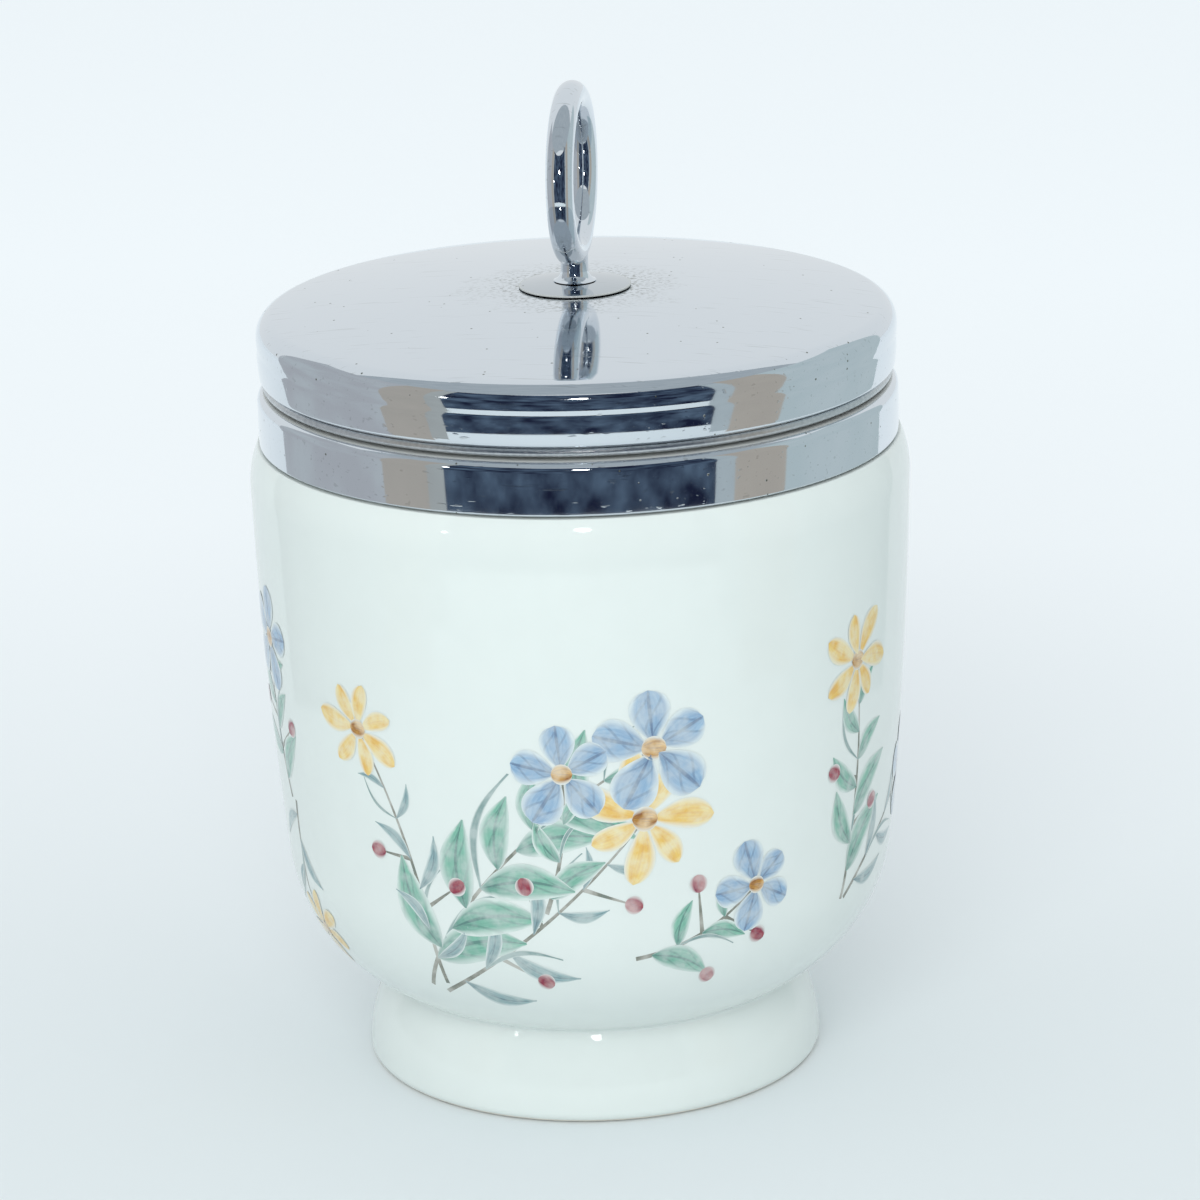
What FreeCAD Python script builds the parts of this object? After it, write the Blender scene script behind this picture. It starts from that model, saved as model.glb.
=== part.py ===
"""Porcelain egg coddler: a footed pot, a metal collar cemented to its neck and a screw lid with a ring.

Millimetres, +Z up. The origin is the centre of the foot's resting circle, and the lifting ring stands
in the YZ plane. Every piece is turned about Z, and the ring is turned about its own level axis.
"""

import FreeCAD
import Part
import Sketcher

import math
import os

DOC = FreeCAD.newDocument("egg_coddler")

# Driving sizes, one named cell each
SIZES = {
    # porcelain pot, heights from the ground up
    "waist_height": 7.9,
    "bowl_turn_rise": 12.2,
    "flank_rise": 33.2,
    "shoulder_rise": 3.45,
    "neck_height": 9.65,
    # porcelain pot, radii and curves
    "mouth_radius": 22.5,
    "neck_wall": 2.3,
    "ledge_width": 0.15,
    "shoulder_swell": 0.8,
    "flank_taper": 1.94,
    "flank_lean": 0.0958,
    "flank_curve_radius": 420.0,
    "waist_radius": 18.2,
    "foot_flare": 2.0,
    "foot_bulge_radius": 14.0,
    # porcelain pot, inside and under the foot
    "bowl_wall": 2.9,
    "floor_thickness": 4.15,
    "inner_belly_drop": 1.8,
    "throat_rise": 3.25,
    "foot_ring_width": 2.9,
    "recess_taper": 1.6,
    "recess_depth": 5.3,
    # porcelain pot, rounded edges
    "foot_edge_round": 0.9,
    "recess_round": 1.6,
    "waist_round": 0.35,
    "throat_round": 3.0,
    "rim_round": 0.9,
    # cement and collar
    "cement_thickness": 0.4,
    "cement_fit": 0.02,
    "cement_line": 0.15,
    "sheet_thickness": 0.7,
    "collar_band_height": 4.6,
    "collar_stand_out": 0.1,
    "collar_shoulder_round": 0.9,
    "collar_hem_round": 0.2,
    "collar_rim_gap": 0.2,
    # lid
    "lid_gap": 0.3,
    "lid_sheet": 0.6,
    "lid_top_rise": 3.3,
    "dome_rise": 1.86,
    "lid_shoulder_round": 1.45,
    "skirt_draw_in": 0.18,
    "skirt_draw_height": 2.3,
    "skirt_edge_round": 0.4,
    "skirt_bead_gap": 0.07,
    "thread_gap": 0.65,
    "liner_fit": 0.05,
    "liner_thickness": 0.5,
    "liner_roof_gap": 0.9,
    "bead_radius": 0.38,
    "bead_stand_out": 0.28,
    # seal
    "seal_seat_gap": 0.05,
    "seal_thickness": 0.7,
    "seal_mouth_gap": 0.4,
    "seal_liner_gap": 0.25,
    # ring and its fixing
    "ring_outer_radius": 7.97,
    "wire_radius": 1.19,
    "ring_neck_length": 1.35,
    "stem_radius": 1.2,
    "stem_fit": 0.05,
    "neck_flare_step": 0.65,
    "neck_flare_height": 0.9,
    "ring_washer_radius": 4.85,
    "ring_washer_edge": 0.12,
    "ring_washer_rise": 0.45,
    "back_washer_radius": 4.0,
    "back_washer_thickness": 0.5,
    "fixing_gap": 0.04,
    "peened_head_radius": 2.2,
    "peened_head_rise": 0.75,
    "peened_head_edge": 0.2,
}

# Radii and heights worked out from the driving sizes, in the order that they need each other
PLACES = {
    # heights of the pot
    "bowl_turn_height": "=sizes.waist_height + sizes.bowl_turn_rise",
    "belly_height": "=bowl_turn_height + sizes.flank_rise",
    "ledge_height": "=belly_height + sizes.shoulder_rise",
    "rim_height": "=ledge_height + sizes.neck_height",
    # radii, outwards from the mouth through the thread to the skirt, the band and the belly
    "neck_radius": "=sizes.mouth_radius + sizes.neck_wall",
    "collar_neck_inner": "=neck_radius + sizes.cement_thickness",
    "collar_neck_outer": "=collar_neck_inner + sizes.sheet_thickness",
    "liner_inner": "=collar_neck_outer + sizes.thread_gap",
    "liner_outer": "=liner_inner + sizes.liner_thickness",
    "lid_inner_radius": "=liner_outer + sizes.liner_fit",
    "lid_radius": "=lid_inner_radius + sizes.lid_sheet",
    "collar_radius": "=lid_radius + sizes.collar_stand_out",
    "band_inner_radius": "=collar_radius - sizes.sheet_thickness",
    "neck_base_radius": "=band_inner_radius - sizes.cement_thickness",
    "ledge_radius": "=collar_radius + sizes.ledge_width",
    "belly_radius": "=ledge_radius + sizes.shoulder_swell",
    "bowl_turn_end": "=belly_radius - sizes.flank_taper",
    # curves of the pot, each running smoothly into the next
    "shoulder_span": "=sizes.shoulder_rise ^ 2 + sizes.shoulder_swell ^ 2",
    "shoulder_turn_radius": "=shoulder_span / (2 * sizes.shoulder_swell)",
    "turn_reach": "=bowl_turn_end - sizes.waist_radius",
    "turn_chord_squared": "=turn_reach ^ 2 + sizes.bowl_turn_rise ^ 2",
    "turn_lean_reach": "=turn_reach - sizes.bowl_turn_rise * sizes.flank_lean",
    "bowl_turn_radius": "=turn_chord_squared * sqrt(1 + sizes.flank_lean ^ 2) / (2 * turn_lean_reach)",
    # the egg well
    "floor_height": "=sizes.recess_depth + sizes.floor_thickness",
    "inner_turn_radius": "=bowl_turn_radius - sizes.bowl_wall",
    "inner_turn_end": "=bowl_turn_end - sizes.bowl_wall",
    "inner_belly_radius": "=belly_radius - sizes.bowl_wall",
    "inner_belly_height": "=belly_height - sizes.inner_belly_drop",
    "inner_flank_radius": "=sizes.flank_curve_radius - sizes.bowl_wall",
    "throat_height": "=ledge_height + sizes.throat_rise",
    "throat_drop": "=throat_height - inner_belly_height",
    "throat_step": "=inner_belly_radius - sizes.mouth_radius",
    "throat_turn_radius": "=(throat_drop ^ 2 + throat_step ^ 2) / (2 * throat_step)",
    "turn_above_floor": "=bowl_turn_height - floor_height",
    "floor_reach": "=sqrt(inner_turn_radius ^ 2 - (inner_turn_radius - turn_above_floor) ^ 2)",
    "floor_radius": "=inner_turn_end - floor_reach",
    # the foot
    "foot_radius": "=sizes.waist_radius + sizes.foot_flare",
    "recess_radius": "=foot_radius - sizes.foot_ring_width",
    "recess_top_radius": "=recess_radius - sizes.recess_taper",
    # the collar and its cement
    "collar_bottom": "=ledge_height + sizes.cement_line",
    "collar_shoulder": "=collar_bottom + sizes.collar_band_height",
    "collar_ledge_under": "=collar_shoulder - sizes.sheet_thickness",
    "neck_step_height": "=collar_ledge_under - sizes.cement_thickness",
    "collar_top": "=rim_height - sizes.collar_rim_gap",
    "cement_bottom": "=ledge_height + sizes.cement_fit",
    "cement_band_outer": "=band_inner_radius - sizes.cement_fit",
    "cement_band_inner": "=neck_base_radius + sizes.cement_fit",
    "cement_step_top": "=collar_ledge_under - sizes.cement_fit",
    "cement_step_under": "=neck_step_height + sizes.cement_fit",
    "cement_neck_outer": "=collar_neck_inner - sizes.cement_fit",
    "cement_neck_inner": "=neck_radius + sizes.cement_fit",
    # the seal on the rim
    "seal_bottom": "=rim_height + sizes.seal_seat_gap",
    "seal_top": "=seal_bottom + sizes.seal_thickness",
    "seal_inner_radius": "=sizes.mouth_radius + sizes.seal_mouth_gap",
    "seal_outer_radius": "=liner_inner - sizes.seal_liner_gap",
    # the lid
    "lid_top_height": "=rim_height + sizes.lid_top_rise",
    "bead_height": "=collar_shoulder + sizes.lid_gap + sizes.bead_radius",
    "bead_ring_radius": "=liner_outer + sizes.bead_stand_out - sizes.bead_radius",
    "skirt_bottom": "=bead_height + sizes.bead_radius + sizes.skirt_bead_gap",
    "skirt_turn_height": "=skirt_bottom + sizes.skirt_draw_height",
    "skirt_foot_radius": "=lid_radius - sizes.skirt_draw_in",
    "skirt_span": "=sizes.skirt_draw_height ^ 2 + sizes.skirt_draw_in ^ 2",
    "skirt_curve": "=skirt_span / (2 * sizes.skirt_draw_in)",
    "dome_radius": "=(lid_radius ^ 2 + sizes.dome_rise ^ 2) / (2 * sizes.dome_rise)",
    "lid_corner_height": "=lid_top_height - sizes.dome_rise",
    "roof_radius": "=dome_radius - sizes.lid_sheet",
    "roof_height": "=lid_top_height - sizes.lid_sheet",
    "roof_drop": "=roof_radius - sqrt(roof_radius ^ 2 - lid_inner_radius ^ 2)",
    "roof_corner_height": "=roof_height - roof_drop",
    "inner_shoulder_round": "=sizes.lid_shoulder_round - sizes.lid_sheet",
    "liner_top": "=roof_corner_height - sizes.liner_roof_gap",
    # the ring, its washers and its peened head
    "stem_hole_radius": "=sizes.stem_radius + sizes.stem_fit",
    "ring_washer_bottom": "=lid_top_height + sizes.fixing_gap",
    "ring_washer_brink": "=ring_washer_bottom + sizes.ring_washer_edge",
    "ring_washer_top": "=ring_washer_bottom + sizes.ring_washer_rise",
    "ring_washer_bulge": "=sizes.ring_washer_rise - sizes.ring_washer_edge",
    "ring_washer_span": "=sizes.ring_washer_radius ^ 2 + ring_washer_bulge ^ 2",
    "ring_washer_curve": "=ring_washer_span / (2 * ring_washer_bulge)",
    "back_washer_top": "=roof_height - sizes.fixing_gap",
    "back_washer_bottom": "=back_washer_top - sizes.back_washer_thickness",
    "head_top": "=back_washer_bottom - sizes.fixing_gap",
    "head_brink": "=head_top - sizes.peened_head_edge",
    "head_bottom": "=head_top - sizes.peened_head_rise",
    "head_bulge": "=sizes.peened_head_rise - sizes.peened_head_edge",
    "head_curve": "=(sizes.peened_head_radius ^ 2 + head_bulge ^ 2) / (2 * head_bulge)",
    "neck_seat": "=ring_washer_top + sizes.fixing_gap",
    "neck_flare_radius": "=sizes.stem_radius + sizes.neck_flare_step",
    "flare_span": "=sizes.neck_flare_height ^ 2 + sizes.neck_flare_step ^ 2",
    "flare_curve": "=flare_span / (2 * sizes.neck_flare_step)",
    "flare_top": "=neck_seat + sizes.neck_flare_height",
    "wire_low_height": "=neck_seat + sizes.ring_neck_length + sizes.wire_radius",
    "ring_mean_radius": "=sizes.ring_outer_radius - sizes.wire_radius",
    "ring_centre_height": "=wire_low_height + ring_mean_radius",
    "wire_top_height": "=ring_centre_height + ring_mean_radius",
}

ON_AXIS = "on_axis"
ON_GROUND = "on_ground"

# Least volume that a cut must take away, and how closely an edge must match its place
LEAST_CUT = 1e-6
EDGE_MATCH = 1e-3


def make_sheet(name, rows):
    """Fill a sheet with one aliased cell per row."""
    sheet = DOC.addObject("Spreadsheet::Sheet", name)
    for number, (alias, content) in enumerate(rows.items(), start=1):
        sheet.set(f"A{number}", alias)
        sheet.set(f"B{number}", str(content))
        sheet.setAlias(f"B{number}", alias)
    DOC.recompute()
    return sheet


SIZE_SHEET = make_sheet("sizes", SIZES)
PLACE_SHEET = make_sheet("places", PLACES)


def cell(alias):
    """Return the full name of the cell that holds an alias."""
    return f"sizes.{alias}" if alias in SIZES else f"places.{alias}"


def value(alias):
    """Return the number in an aliased cell, or zero on the axis or the ground."""
    if alias in (ON_AXIS, ON_GROUND):
        return 0.0
    sheet = SIZE_SHEET if alias in SIZES else PLACE_SHEET
    return float(sheet.get(alias))


def origin_plane(body, role):
    """Return one of a body's own origin planes."""
    return next(item for item in body.Origin.OriginFeatures if item.Role == role)


def new_body(name):
    """Start a body, labelled with its node's name."""
    body = DOC.addObject("PartDesign::Body", name)
    body.Label = name
    return body


def new_sketch(body, name, role="XZ_Plane"):
    """Start a sketch on one of the body's origin planes."""
    sketch = body.newObject("Sketcher::SketchObject", name)
    sketch.AttachmentSupport = [(origin_plane(body, role), "")]
    sketch.MapMode = "FlatFace"
    return sketch


def bind_last(sketch, index, alias):
    """Tie a dimension of a sketch to a cell."""
    sketch.setExpression(f"Constraints[{index}]", cell(alias))


def pin_point(sketch, edge, end, across, up):
    """Hold one end of an edge at a radius and a height."""
    if across == ON_AXIS:
        sketch.addConstraint(Sketcher.Constraint("PointOnObject", edge, end, -2))
    else:
        bind_last(sketch, sketch.addConstraint(
            Sketcher.Constraint("DistanceX", -1, 1, edge, end, value(across))), across)
    if up == ON_GROUND:
        sketch.addConstraint(Sketcher.Constraint("PointOnObject", edge, end, -1))
    else:
        bind_last(sketch, sketch.addConstraint(
            Sketcher.Constraint("DistanceY", -1, 1, edge, end, value(up))), up)


def arc_between(start, finish, radius, side):
    """Return the short arc between two points, and whether it runs from finish to start.

    A side of 1 puts the centre on the left of the way from start to finish, and -1 on the right.
    """
    chord = finish - start
    middle = (start + finish) * 0.5
    left = FreeCAD.Vector(-chord.y, chord.x, 0).normalize()
    centre = middle + left * side * math.sqrt(max(radius ** 2 - chord.Length ** 2 / 4, 0))
    circle = Part.Circle(centre, FreeCAD.Vector(0, 0, 1), radius)
    first, last = (start, finish) if side > 0 else (finish, start)
    angles = [math.atan2(point.y - centre.y, point.x - centre.x) for point in (first, last)]
    if angles[1] < angles[0]:
        angles[1] += 2 * math.pi
    return Part.ArcOfCircle(circle, *angles), side < 0


def draw_outline(sketch, corners):
    """Draw a closed outline, each corner a radius, a height and, for an arc to the next, its curve."""
    points = [FreeCAD.Vector(value(corner[0]), value(corner[1]), 0) for corner in corners]
    ends = []
    for number, corner in enumerate(corners):
        start, finish = points[number], points[(number + 1) % len(points)]
        if len(corner) == 2:
            edge = sketch.addGeometry(Part.LineSegment(start, finish), False)
            ends.append((edge, 1, 2))
        else:
            curve, side = corner[2]
            arc, backwards = arc_between(start, finish, value(curve), side)
            edge = sketch.addGeometry(arc, False)
            ends.append((edge, 2, 1) if backwards else (edge, 1, 2))
    for number, (edge, _, last) in enumerate(ends):
        following, first, _ = ends[(number + 1) % len(ends)]
        sketch.addConstraint(Sketcher.Constraint("Coincident", edge, last, following, first))
    for (edge, first, _), corner in zip(ends, corners):
        pin_point(sketch, edge, first, corner[0], corner[1])
        if len(corner) == 3:
            alias = corner[2][0]
            bind_last(sketch, sketch.addConstraint(Sketcher.Constraint("Radius", edge, value(alias))), alias)


def turned(body, name, corners, kind="PartDesign::Revolution"):
    """Turn an outline about Z, adding to the body or, as a groove, cutting it."""
    cuts = kind == "PartDesign::Groove"
    before = body.Shape.Volume if cuts else 0.0
    sketch = new_sketch(body, f"{name}_outline")
    draw_outline(sketch, corners)
    feature = body.newObject(kind, name)
    feature.Profile = sketch
    feature.ReferenceAxis = (sketch, ["V_Axis"])
    feature.Angle = 360
    DOC.recompute()
    if cuts and feature.Shape.Volume > before - LEAST_CUT:
        raise RuntimeError(f"{name} cuts nothing")
    return feature


def drilled(body, name, radius):
    """Cut a round hole along Z right through the body."""
    sketch = new_sketch(body, f"{name}_outline", "XY_Plane")
    sketch.addGeometry(Part.Circle(FreeCAD.Vector(), FreeCAD.Vector(0, 0, 1), value(radius)), False)
    sketch.addConstraint(Sketcher.Constraint("Coincident", 0, 3, -1, 1))
    bind_last(sketch, sketch.addConstraint(Sketcher.Constraint("Radius", 0, value(radius))), radius)
    before = body.Shape.Volume
    feature = body.newObject("PartDesign::Pocket", name)
    feature.Profile = sketch
    feature.Type = "ThroughAll"
    feature.Midplane = True
    DOC.recompute()
    if feature.Shape.Volume > before - LEAST_CUT:
        raise RuntimeError(f"{name} cuts nothing")
    return feature


def rounded(body, name, size, places):
    """Round the circular edges that lie at the given radii and heights."""
    base = body.Tip
    names = []
    for number, edge in enumerate(base.Shape.Edges, start=1):
        if edge.Degenerated or not edge.Closed or not isinstance(edge.Curve, Part.Circle):
            continue
        for across, up in places:
            near = abs(edge.Curve.Radius - value(across)) + abs(edge.Curve.Center.z - value(up))
            if near < EDGE_MATCH:
                names.append(f"Edge{number}")
    if len(names) != len(places):
        raise RuntimeError(f"{name} found {len(names)} edges of {len(places)}")
    feature = body.newObject("PartDesign::Fillet", name)
    feature.Base = (base, names)
    feature.Radius = value(size)
    feature.setExpression("Radius", cell(size))
    DOC.recompute()
    return feature


def porcelain_cup():
    """Turn the pot, hollow it and its foot, and round its rim."""
    body = new_body("porcelain_cup")
    turned(body, "pot", [
        (ON_AXIS, ON_GROUND),
        ("foot_radius", ON_GROUND, ("foot_bulge_radius", 1)),
        ("waist_radius", "waist_height", ("bowl_turn_radius", 1)),
        ("bowl_turn_end", "bowl_turn_height", ("flank_curve_radius", 1)),
        ("belly_radius", "belly_height", ("shoulder_turn_radius", 1)),
        ("ledge_radius", "ledge_height"),
        ("neck_base_radius", "ledge_height"),
        ("neck_base_radius", "neck_step_height"),
        ("neck_radius", "neck_step_height"),
        ("neck_radius", "rim_height"),
        (ON_AXIS, "rim_height"),
    ])
    turned(body, "egg_well", [
        (ON_AXIS, "floor_height"),
        ("floor_radius", "floor_height", ("inner_turn_radius", 1)),
        ("inner_turn_end", "bowl_turn_height", ("inner_flank_radius", 1)),
        ("inner_belly_radius", "inner_belly_height", ("throat_turn_radius", 1)),
        ("mouth_radius", "throat_height"),
        ("mouth_radius", "rim_height"),
        (ON_AXIS, "rim_height"),
    ], "PartDesign::Groove")
    turned(body, "foot_recess", [
        (ON_AXIS, ON_GROUND),
        ("recess_radius", ON_GROUND),
        ("recess_top_radius", "recess_depth"),
        (ON_AXIS, "recess_depth"),
    ], "PartDesign::Groove")
    rounded(body, "foot_edge", "foot_edge_round",
            [("foot_radius", ON_GROUND), ("recess_radius", ON_GROUND)])
    rounded(body, "recess_corner", "recess_round", [("recess_top_radius", "recess_depth")])
    rounded(body, "waist", "waist_round", [("waist_radius", "waist_height")])
    rounded(body, "throat", "throat_round", [("mouth_radius", "throat_height")])
    rounded(body, "rim", "rim_round", [("mouth_radius", "rim_height"), ("neck_radius", "rim_height")])
    return body


def cement_bed():
    """Fill the space between the pot's stepped neck and the collar."""
    body = new_body("cement_bed")
    turned(body, "bed", [
        ("cement_band_inner", "cement_bottom"),
        ("cement_band_outer", "cement_bottom"),
        ("cement_band_outer", "cement_step_top"),
        ("cement_neck_outer", "cement_step_top"),
        ("cement_neck_outer", "collar_top"),
        ("cement_neck_inner", "collar_top"),
        ("cement_neck_inner", "cement_step_under"),
        ("cement_band_inner", "cement_step_under"),
    ])
    return body


def collar():
    """Press the collar: a smooth band below, a ledge and the narrower neck that carries the thread."""
    body = new_body("collar")
    turned(body, "ring", [
        ("collar_radius", "collar_bottom"),
        ("collar_radius", "collar_shoulder"),
        ("collar_neck_outer", "collar_shoulder"),
        ("collar_neck_outer", "collar_top"),
        ("collar_neck_inner", "collar_top"),
        ("collar_neck_inner", "collar_ledge_under"),
        ("band_inner_radius", "collar_ledge_under"),
        ("band_inner_radius", "collar_bottom"),
    ])
    rounded(body, "shoulder", "collar_shoulder_round", [("collar_radius", "collar_shoulder")])
    rounded(body, "hem", "collar_hem_round",
            [("collar_radius", "collar_bottom"), ("collar_neck_outer", "collar_top")])
    return body


def sealing_washer():
    """Turn the flat washer that lies on the pot's rim."""
    body = new_body("sealing_washer")
    turned(body, "washer", [
        ("seal_inner_radius", "seal_bottom"),
        ("seal_outer_radius", "seal_bottom"),
        ("seal_outer_radius", "seal_top"),
        ("seal_inner_radius", "seal_top"),
    ])
    return body


def lid_cap():
    """Draw the cap: a low dome, a rounded shoulder and a skirt that draws in towards its lower edge."""
    body = new_body("lid_cap")
    turned(body, "shell", [
        (ON_AXIS, "roof_height", ("roof_radius", -1)),
        ("lid_inner_radius", "roof_corner_height"),
        ("lid_inner_radius", "skirt_bottom"),
        ("skirt_foot_radius", "skirt_bottom", ("skirt_curve", 1)),
        ("lid_radius", "skirt_turn_height"),
        ("lid_radius", "lid_corner_height", ("dome_radius", 1)),
        (ON_AXIS, "lid_top_height"),
    ])
    rounded(body, "shoulder", "lid_shoulder_round", [("lid_radius", "lid_corner_height")])
    rounded(body, "inner_shoulder", "inner_shoulder_round", [("lid_inner_radius", "roof_corner_height")])
    rounded(body, "skirt_edge", "skirt_edge_round", [("skirt_foot_radius", "skirt_bottom")])
    drilled(body, "stem_hole", "stem_hole_radius")
    return body


def lid_liner():
    """Turn the threaded sleeve inside the skirt, with the rolled bead along its lower edge."""
    body = new_body("lid_liner")
    turned(body, "sleeve", [
        ("liner_inner", "bead_height"),
        ("liner_outer", "bead_height"),
        ("liner_outer", "liner_top"),
        ("liner_inner", "liner_top"),
    ])
    sketch = new_sketch(body, "bead_outline")
    centre = FreeCAD.Vector(value("bead_ring_radius"), value("bead_height"), 0)
    sketch.addGeometry(Part.Circle(centre, FreeCAD.Vector(0, 0, 1), value("bead_radius")), False)
    pin_point(sketch, 0, 3, "bead_ring_radius", "bead_height")
    bind_last(sketch, sketch.addConstraint(Sketcher.Constraint("Radius", 0, value("bead_radius"))),
              "bead_radius")
    bead = body.newObject("PartDesign::Revolution", "bead")
    bead.Profile = sketch
    bead.ReferenceAxis = (sketch, ["V_Axis"])
    bead.Angle = 360
    DOC.recompute()
    return body


def ring_washer():
    """Turn the low domed washer that the ring stands on."""
    body = new_body("ring_washer")
    turned(body, "dome", [
        (ON_AXIS, "ring_washer_bottom"),
        ("ring_washer_radius", "ring_washer_bottom"),
        ("ring_washer_radius", "ring_washer_brink", ("ring_washer_curve", 1)),
        (ON_AXIS, "ring_washer_top"),
    ])
    drilled(body, "stem_hole", "stem_hole_radius")
    return body


def back_washer():
    """Turn the flat washer under the lid's roof."""
    body = new_body("back_washer")
    turned(body, "washer", [
        (ON_AXIS, "back_washer_bottom"),
        ("back_washer_radius", "back_washer_bottom"),
        ("back_washer_radius", "back_washer_top"),
        (ON_AXIS, "back_washer_top"),
    ])
    drilled(body, "stem_hole", "stem_hole_radius")
    return body


def lifting_ring():
    """Bend the wire ring, with its flared neck, its stem through the lid and the stem's peened head."""
    body = new_body("lifting_ring")
    turned(body, "stem", [
        (ON_AXIS, "head_bottom", ("head_curve", 1)),
        ("peened_head_radius", "head_brink"),
        ("peened_head_radius", "head_top"),
        ("stem_radius", "head_top"),
        ("stem_radius", "neck_seat"),
        ("neck_flare_radius", "neck_seat", ("flare_curve", -1)),
        ("stem_radius", "flare_top"),
        ("stem_radius", "wire_low_height"),
        (ON_AXIS, "wire_low_height"),
    ])
    sketch = new_sketch(body, "wire_section")
    top = FreeCAD.Vector(0, value("wire_top_height"), 0)
    sketch.addGeometry(Part.Circle(top, FreeCAD.Vector(0, 0, 1), value("wire_radius")), False)
    pin_point(sketch, 0, 3, ON_AXIS, "wire_top_height")
    bind_last(sketch, sketch.addConstraint(Sketcher.Constraint("Radius", 0, value("wire_radius"))),
              "wire_radius")
    level = Part.LineSegment(FreeCAD.Vector(0, value("ring_centre_height"), 0),
                             FreeCAD.Vector(value("ring_mean_radius"), value("ring_centre_height"), 0))
    sketch.addGeometry(level, True)
    sketch.addConstraint(Sketcher.Constraint("Horizontal", 1))
    pin_point(sketch, 1, 1, ON_AXIS, "ring_centre_height")
    bind_last(sketch, sketch.addConstraint(
        Sketcher.Constraint("DistanceX", 1, 1, 1, 2, value("ring_mean_radius"))), "ring_mean_radius")
    ring = body.newObject("PartDesign::Revolution", "ring")
    ring.Profile = sketch
    ring.ReferenceAxis = (sketch, ["Axis0"])
    ring.Angle = 360
    DOC.recompute()
    return body


def check_document():
    """Stop at the first object that failed."""
    for item in DOC.Objects:
        if "Invalid" in item.State or "Error" in item.State:
            raise RuntimeError(f"{item.Label} is {item.State}")


def write_parts(bodies):
    """Write each piece to its own STEP file."""
    os.makedirs("parts", exist_ok=True)
    for body in bodies:
        shape = body.Shape
        if shape.isNull() or not shape.isValid() or len(shape.Solids) != 1:
            raise RuntimeError(f"{body.Label} is not one valid solid")
        shape.exportStep(f"parts/{body.Label}.step")
        box = shape.BoundBox
        print(f"{body.Label}: {shape.Volume:.2f} mm3, z {box.ZMin:.3f} to {box.ZMax:.3f}, "
              f"radius {box.XMax:.3f}")


PIECES = [
    porcelain_cup(),
    cement_bed(),
    collar(),
    sealing_washer(),
    lid_cap(),
    lid_liner(),
    ring_washer(),
    back_washer(),
    lifting_ring(),
]
DOC.recompute()
check_document()
write_parts(PIECES)
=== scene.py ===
"""Porcelain egg coddler with a chrome screw lid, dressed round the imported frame.

The pot, its collar, the lid and the ring are turned again from the same outlines as the solids, fine
enough for glaze and chrome to mirror smoothly. Millimetres in the outlines, metres in the meshes.
"""

import logging
import math
import random
from dataclasses import dataclass, field
from enum import Enum

import bmesh
import bpy
from mathutils import Matrix, Vector

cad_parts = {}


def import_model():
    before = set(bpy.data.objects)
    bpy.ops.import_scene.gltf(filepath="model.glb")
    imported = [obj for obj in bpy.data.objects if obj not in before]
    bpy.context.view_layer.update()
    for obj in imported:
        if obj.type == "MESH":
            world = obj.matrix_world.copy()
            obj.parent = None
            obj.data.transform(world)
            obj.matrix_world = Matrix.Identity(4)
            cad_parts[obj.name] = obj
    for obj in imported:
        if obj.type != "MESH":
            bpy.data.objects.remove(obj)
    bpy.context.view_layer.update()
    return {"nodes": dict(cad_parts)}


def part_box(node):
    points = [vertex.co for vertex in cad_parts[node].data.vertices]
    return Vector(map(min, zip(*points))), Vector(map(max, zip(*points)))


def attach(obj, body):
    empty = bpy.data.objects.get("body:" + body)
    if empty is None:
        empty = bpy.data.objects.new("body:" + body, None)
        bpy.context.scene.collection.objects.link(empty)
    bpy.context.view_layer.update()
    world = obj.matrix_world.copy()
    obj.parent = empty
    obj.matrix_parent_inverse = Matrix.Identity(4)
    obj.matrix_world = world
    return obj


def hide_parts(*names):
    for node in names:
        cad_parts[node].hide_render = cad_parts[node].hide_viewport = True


LOG = logging.getLogger("coddler")

# Sizes of the mesh: metres in a millimetre, faces round a turned piece, and the longest steps along it
MM = 0.001
TURN_STEPS = 256
ARC_STEP = math.radians(2.0)
CORNER_STEP = math.radians(9.0)
LINE_STEP = 1.5
ON_AXIS = 1e-6

# Kinds of value that a node's input takes
Colour = tuple[float, float, float, float]
Socket = bpy.types.NodeSocket
Number = float | Socket
Tint = Colour | Socket


# Outlines and turned meshes

class Body(Enum):
    """The frame's bodies that carry the dressed pieces."""

    POT = "pot"
    LID = "lid"


def to_linear(code: str) -> Colour:
    """Turn an sRGB hex code into a linear colour.

    Args:
        code: Six hex digits after a hash.

    Returns:
        Red, green, blue and an alpha of one.
    """
    levels = [int(code[start:start + 2], 16) / 255 for start in (1, 3, 5)]
    linear = [level / 12.92 if level <= 0.04045 else ((level + 0.055) / 1.055) ** 2.4 for level in levels]
    return (linear[0], linear[1], linear[2], 1.0)


def frame_span(node: str) -> tuple[float, float, float]:
    """Read a turned node's size from the frame.

    Args:
        node: The node's name.

    Returns:
        Its outer radius, lowest height and highest height, in millimetres.
    """
    low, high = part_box(node)
    return (high[0] / MM, low[2] / MM, high[2] / MM)


@dataclass(frozen=True)
class Corner:
    """One corner of a turned outline, and the edge that leaves it."""

    radius: float
    height: float
    rounding: float = 0.0
    curve: float = 0.0
    side: int = 1


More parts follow.
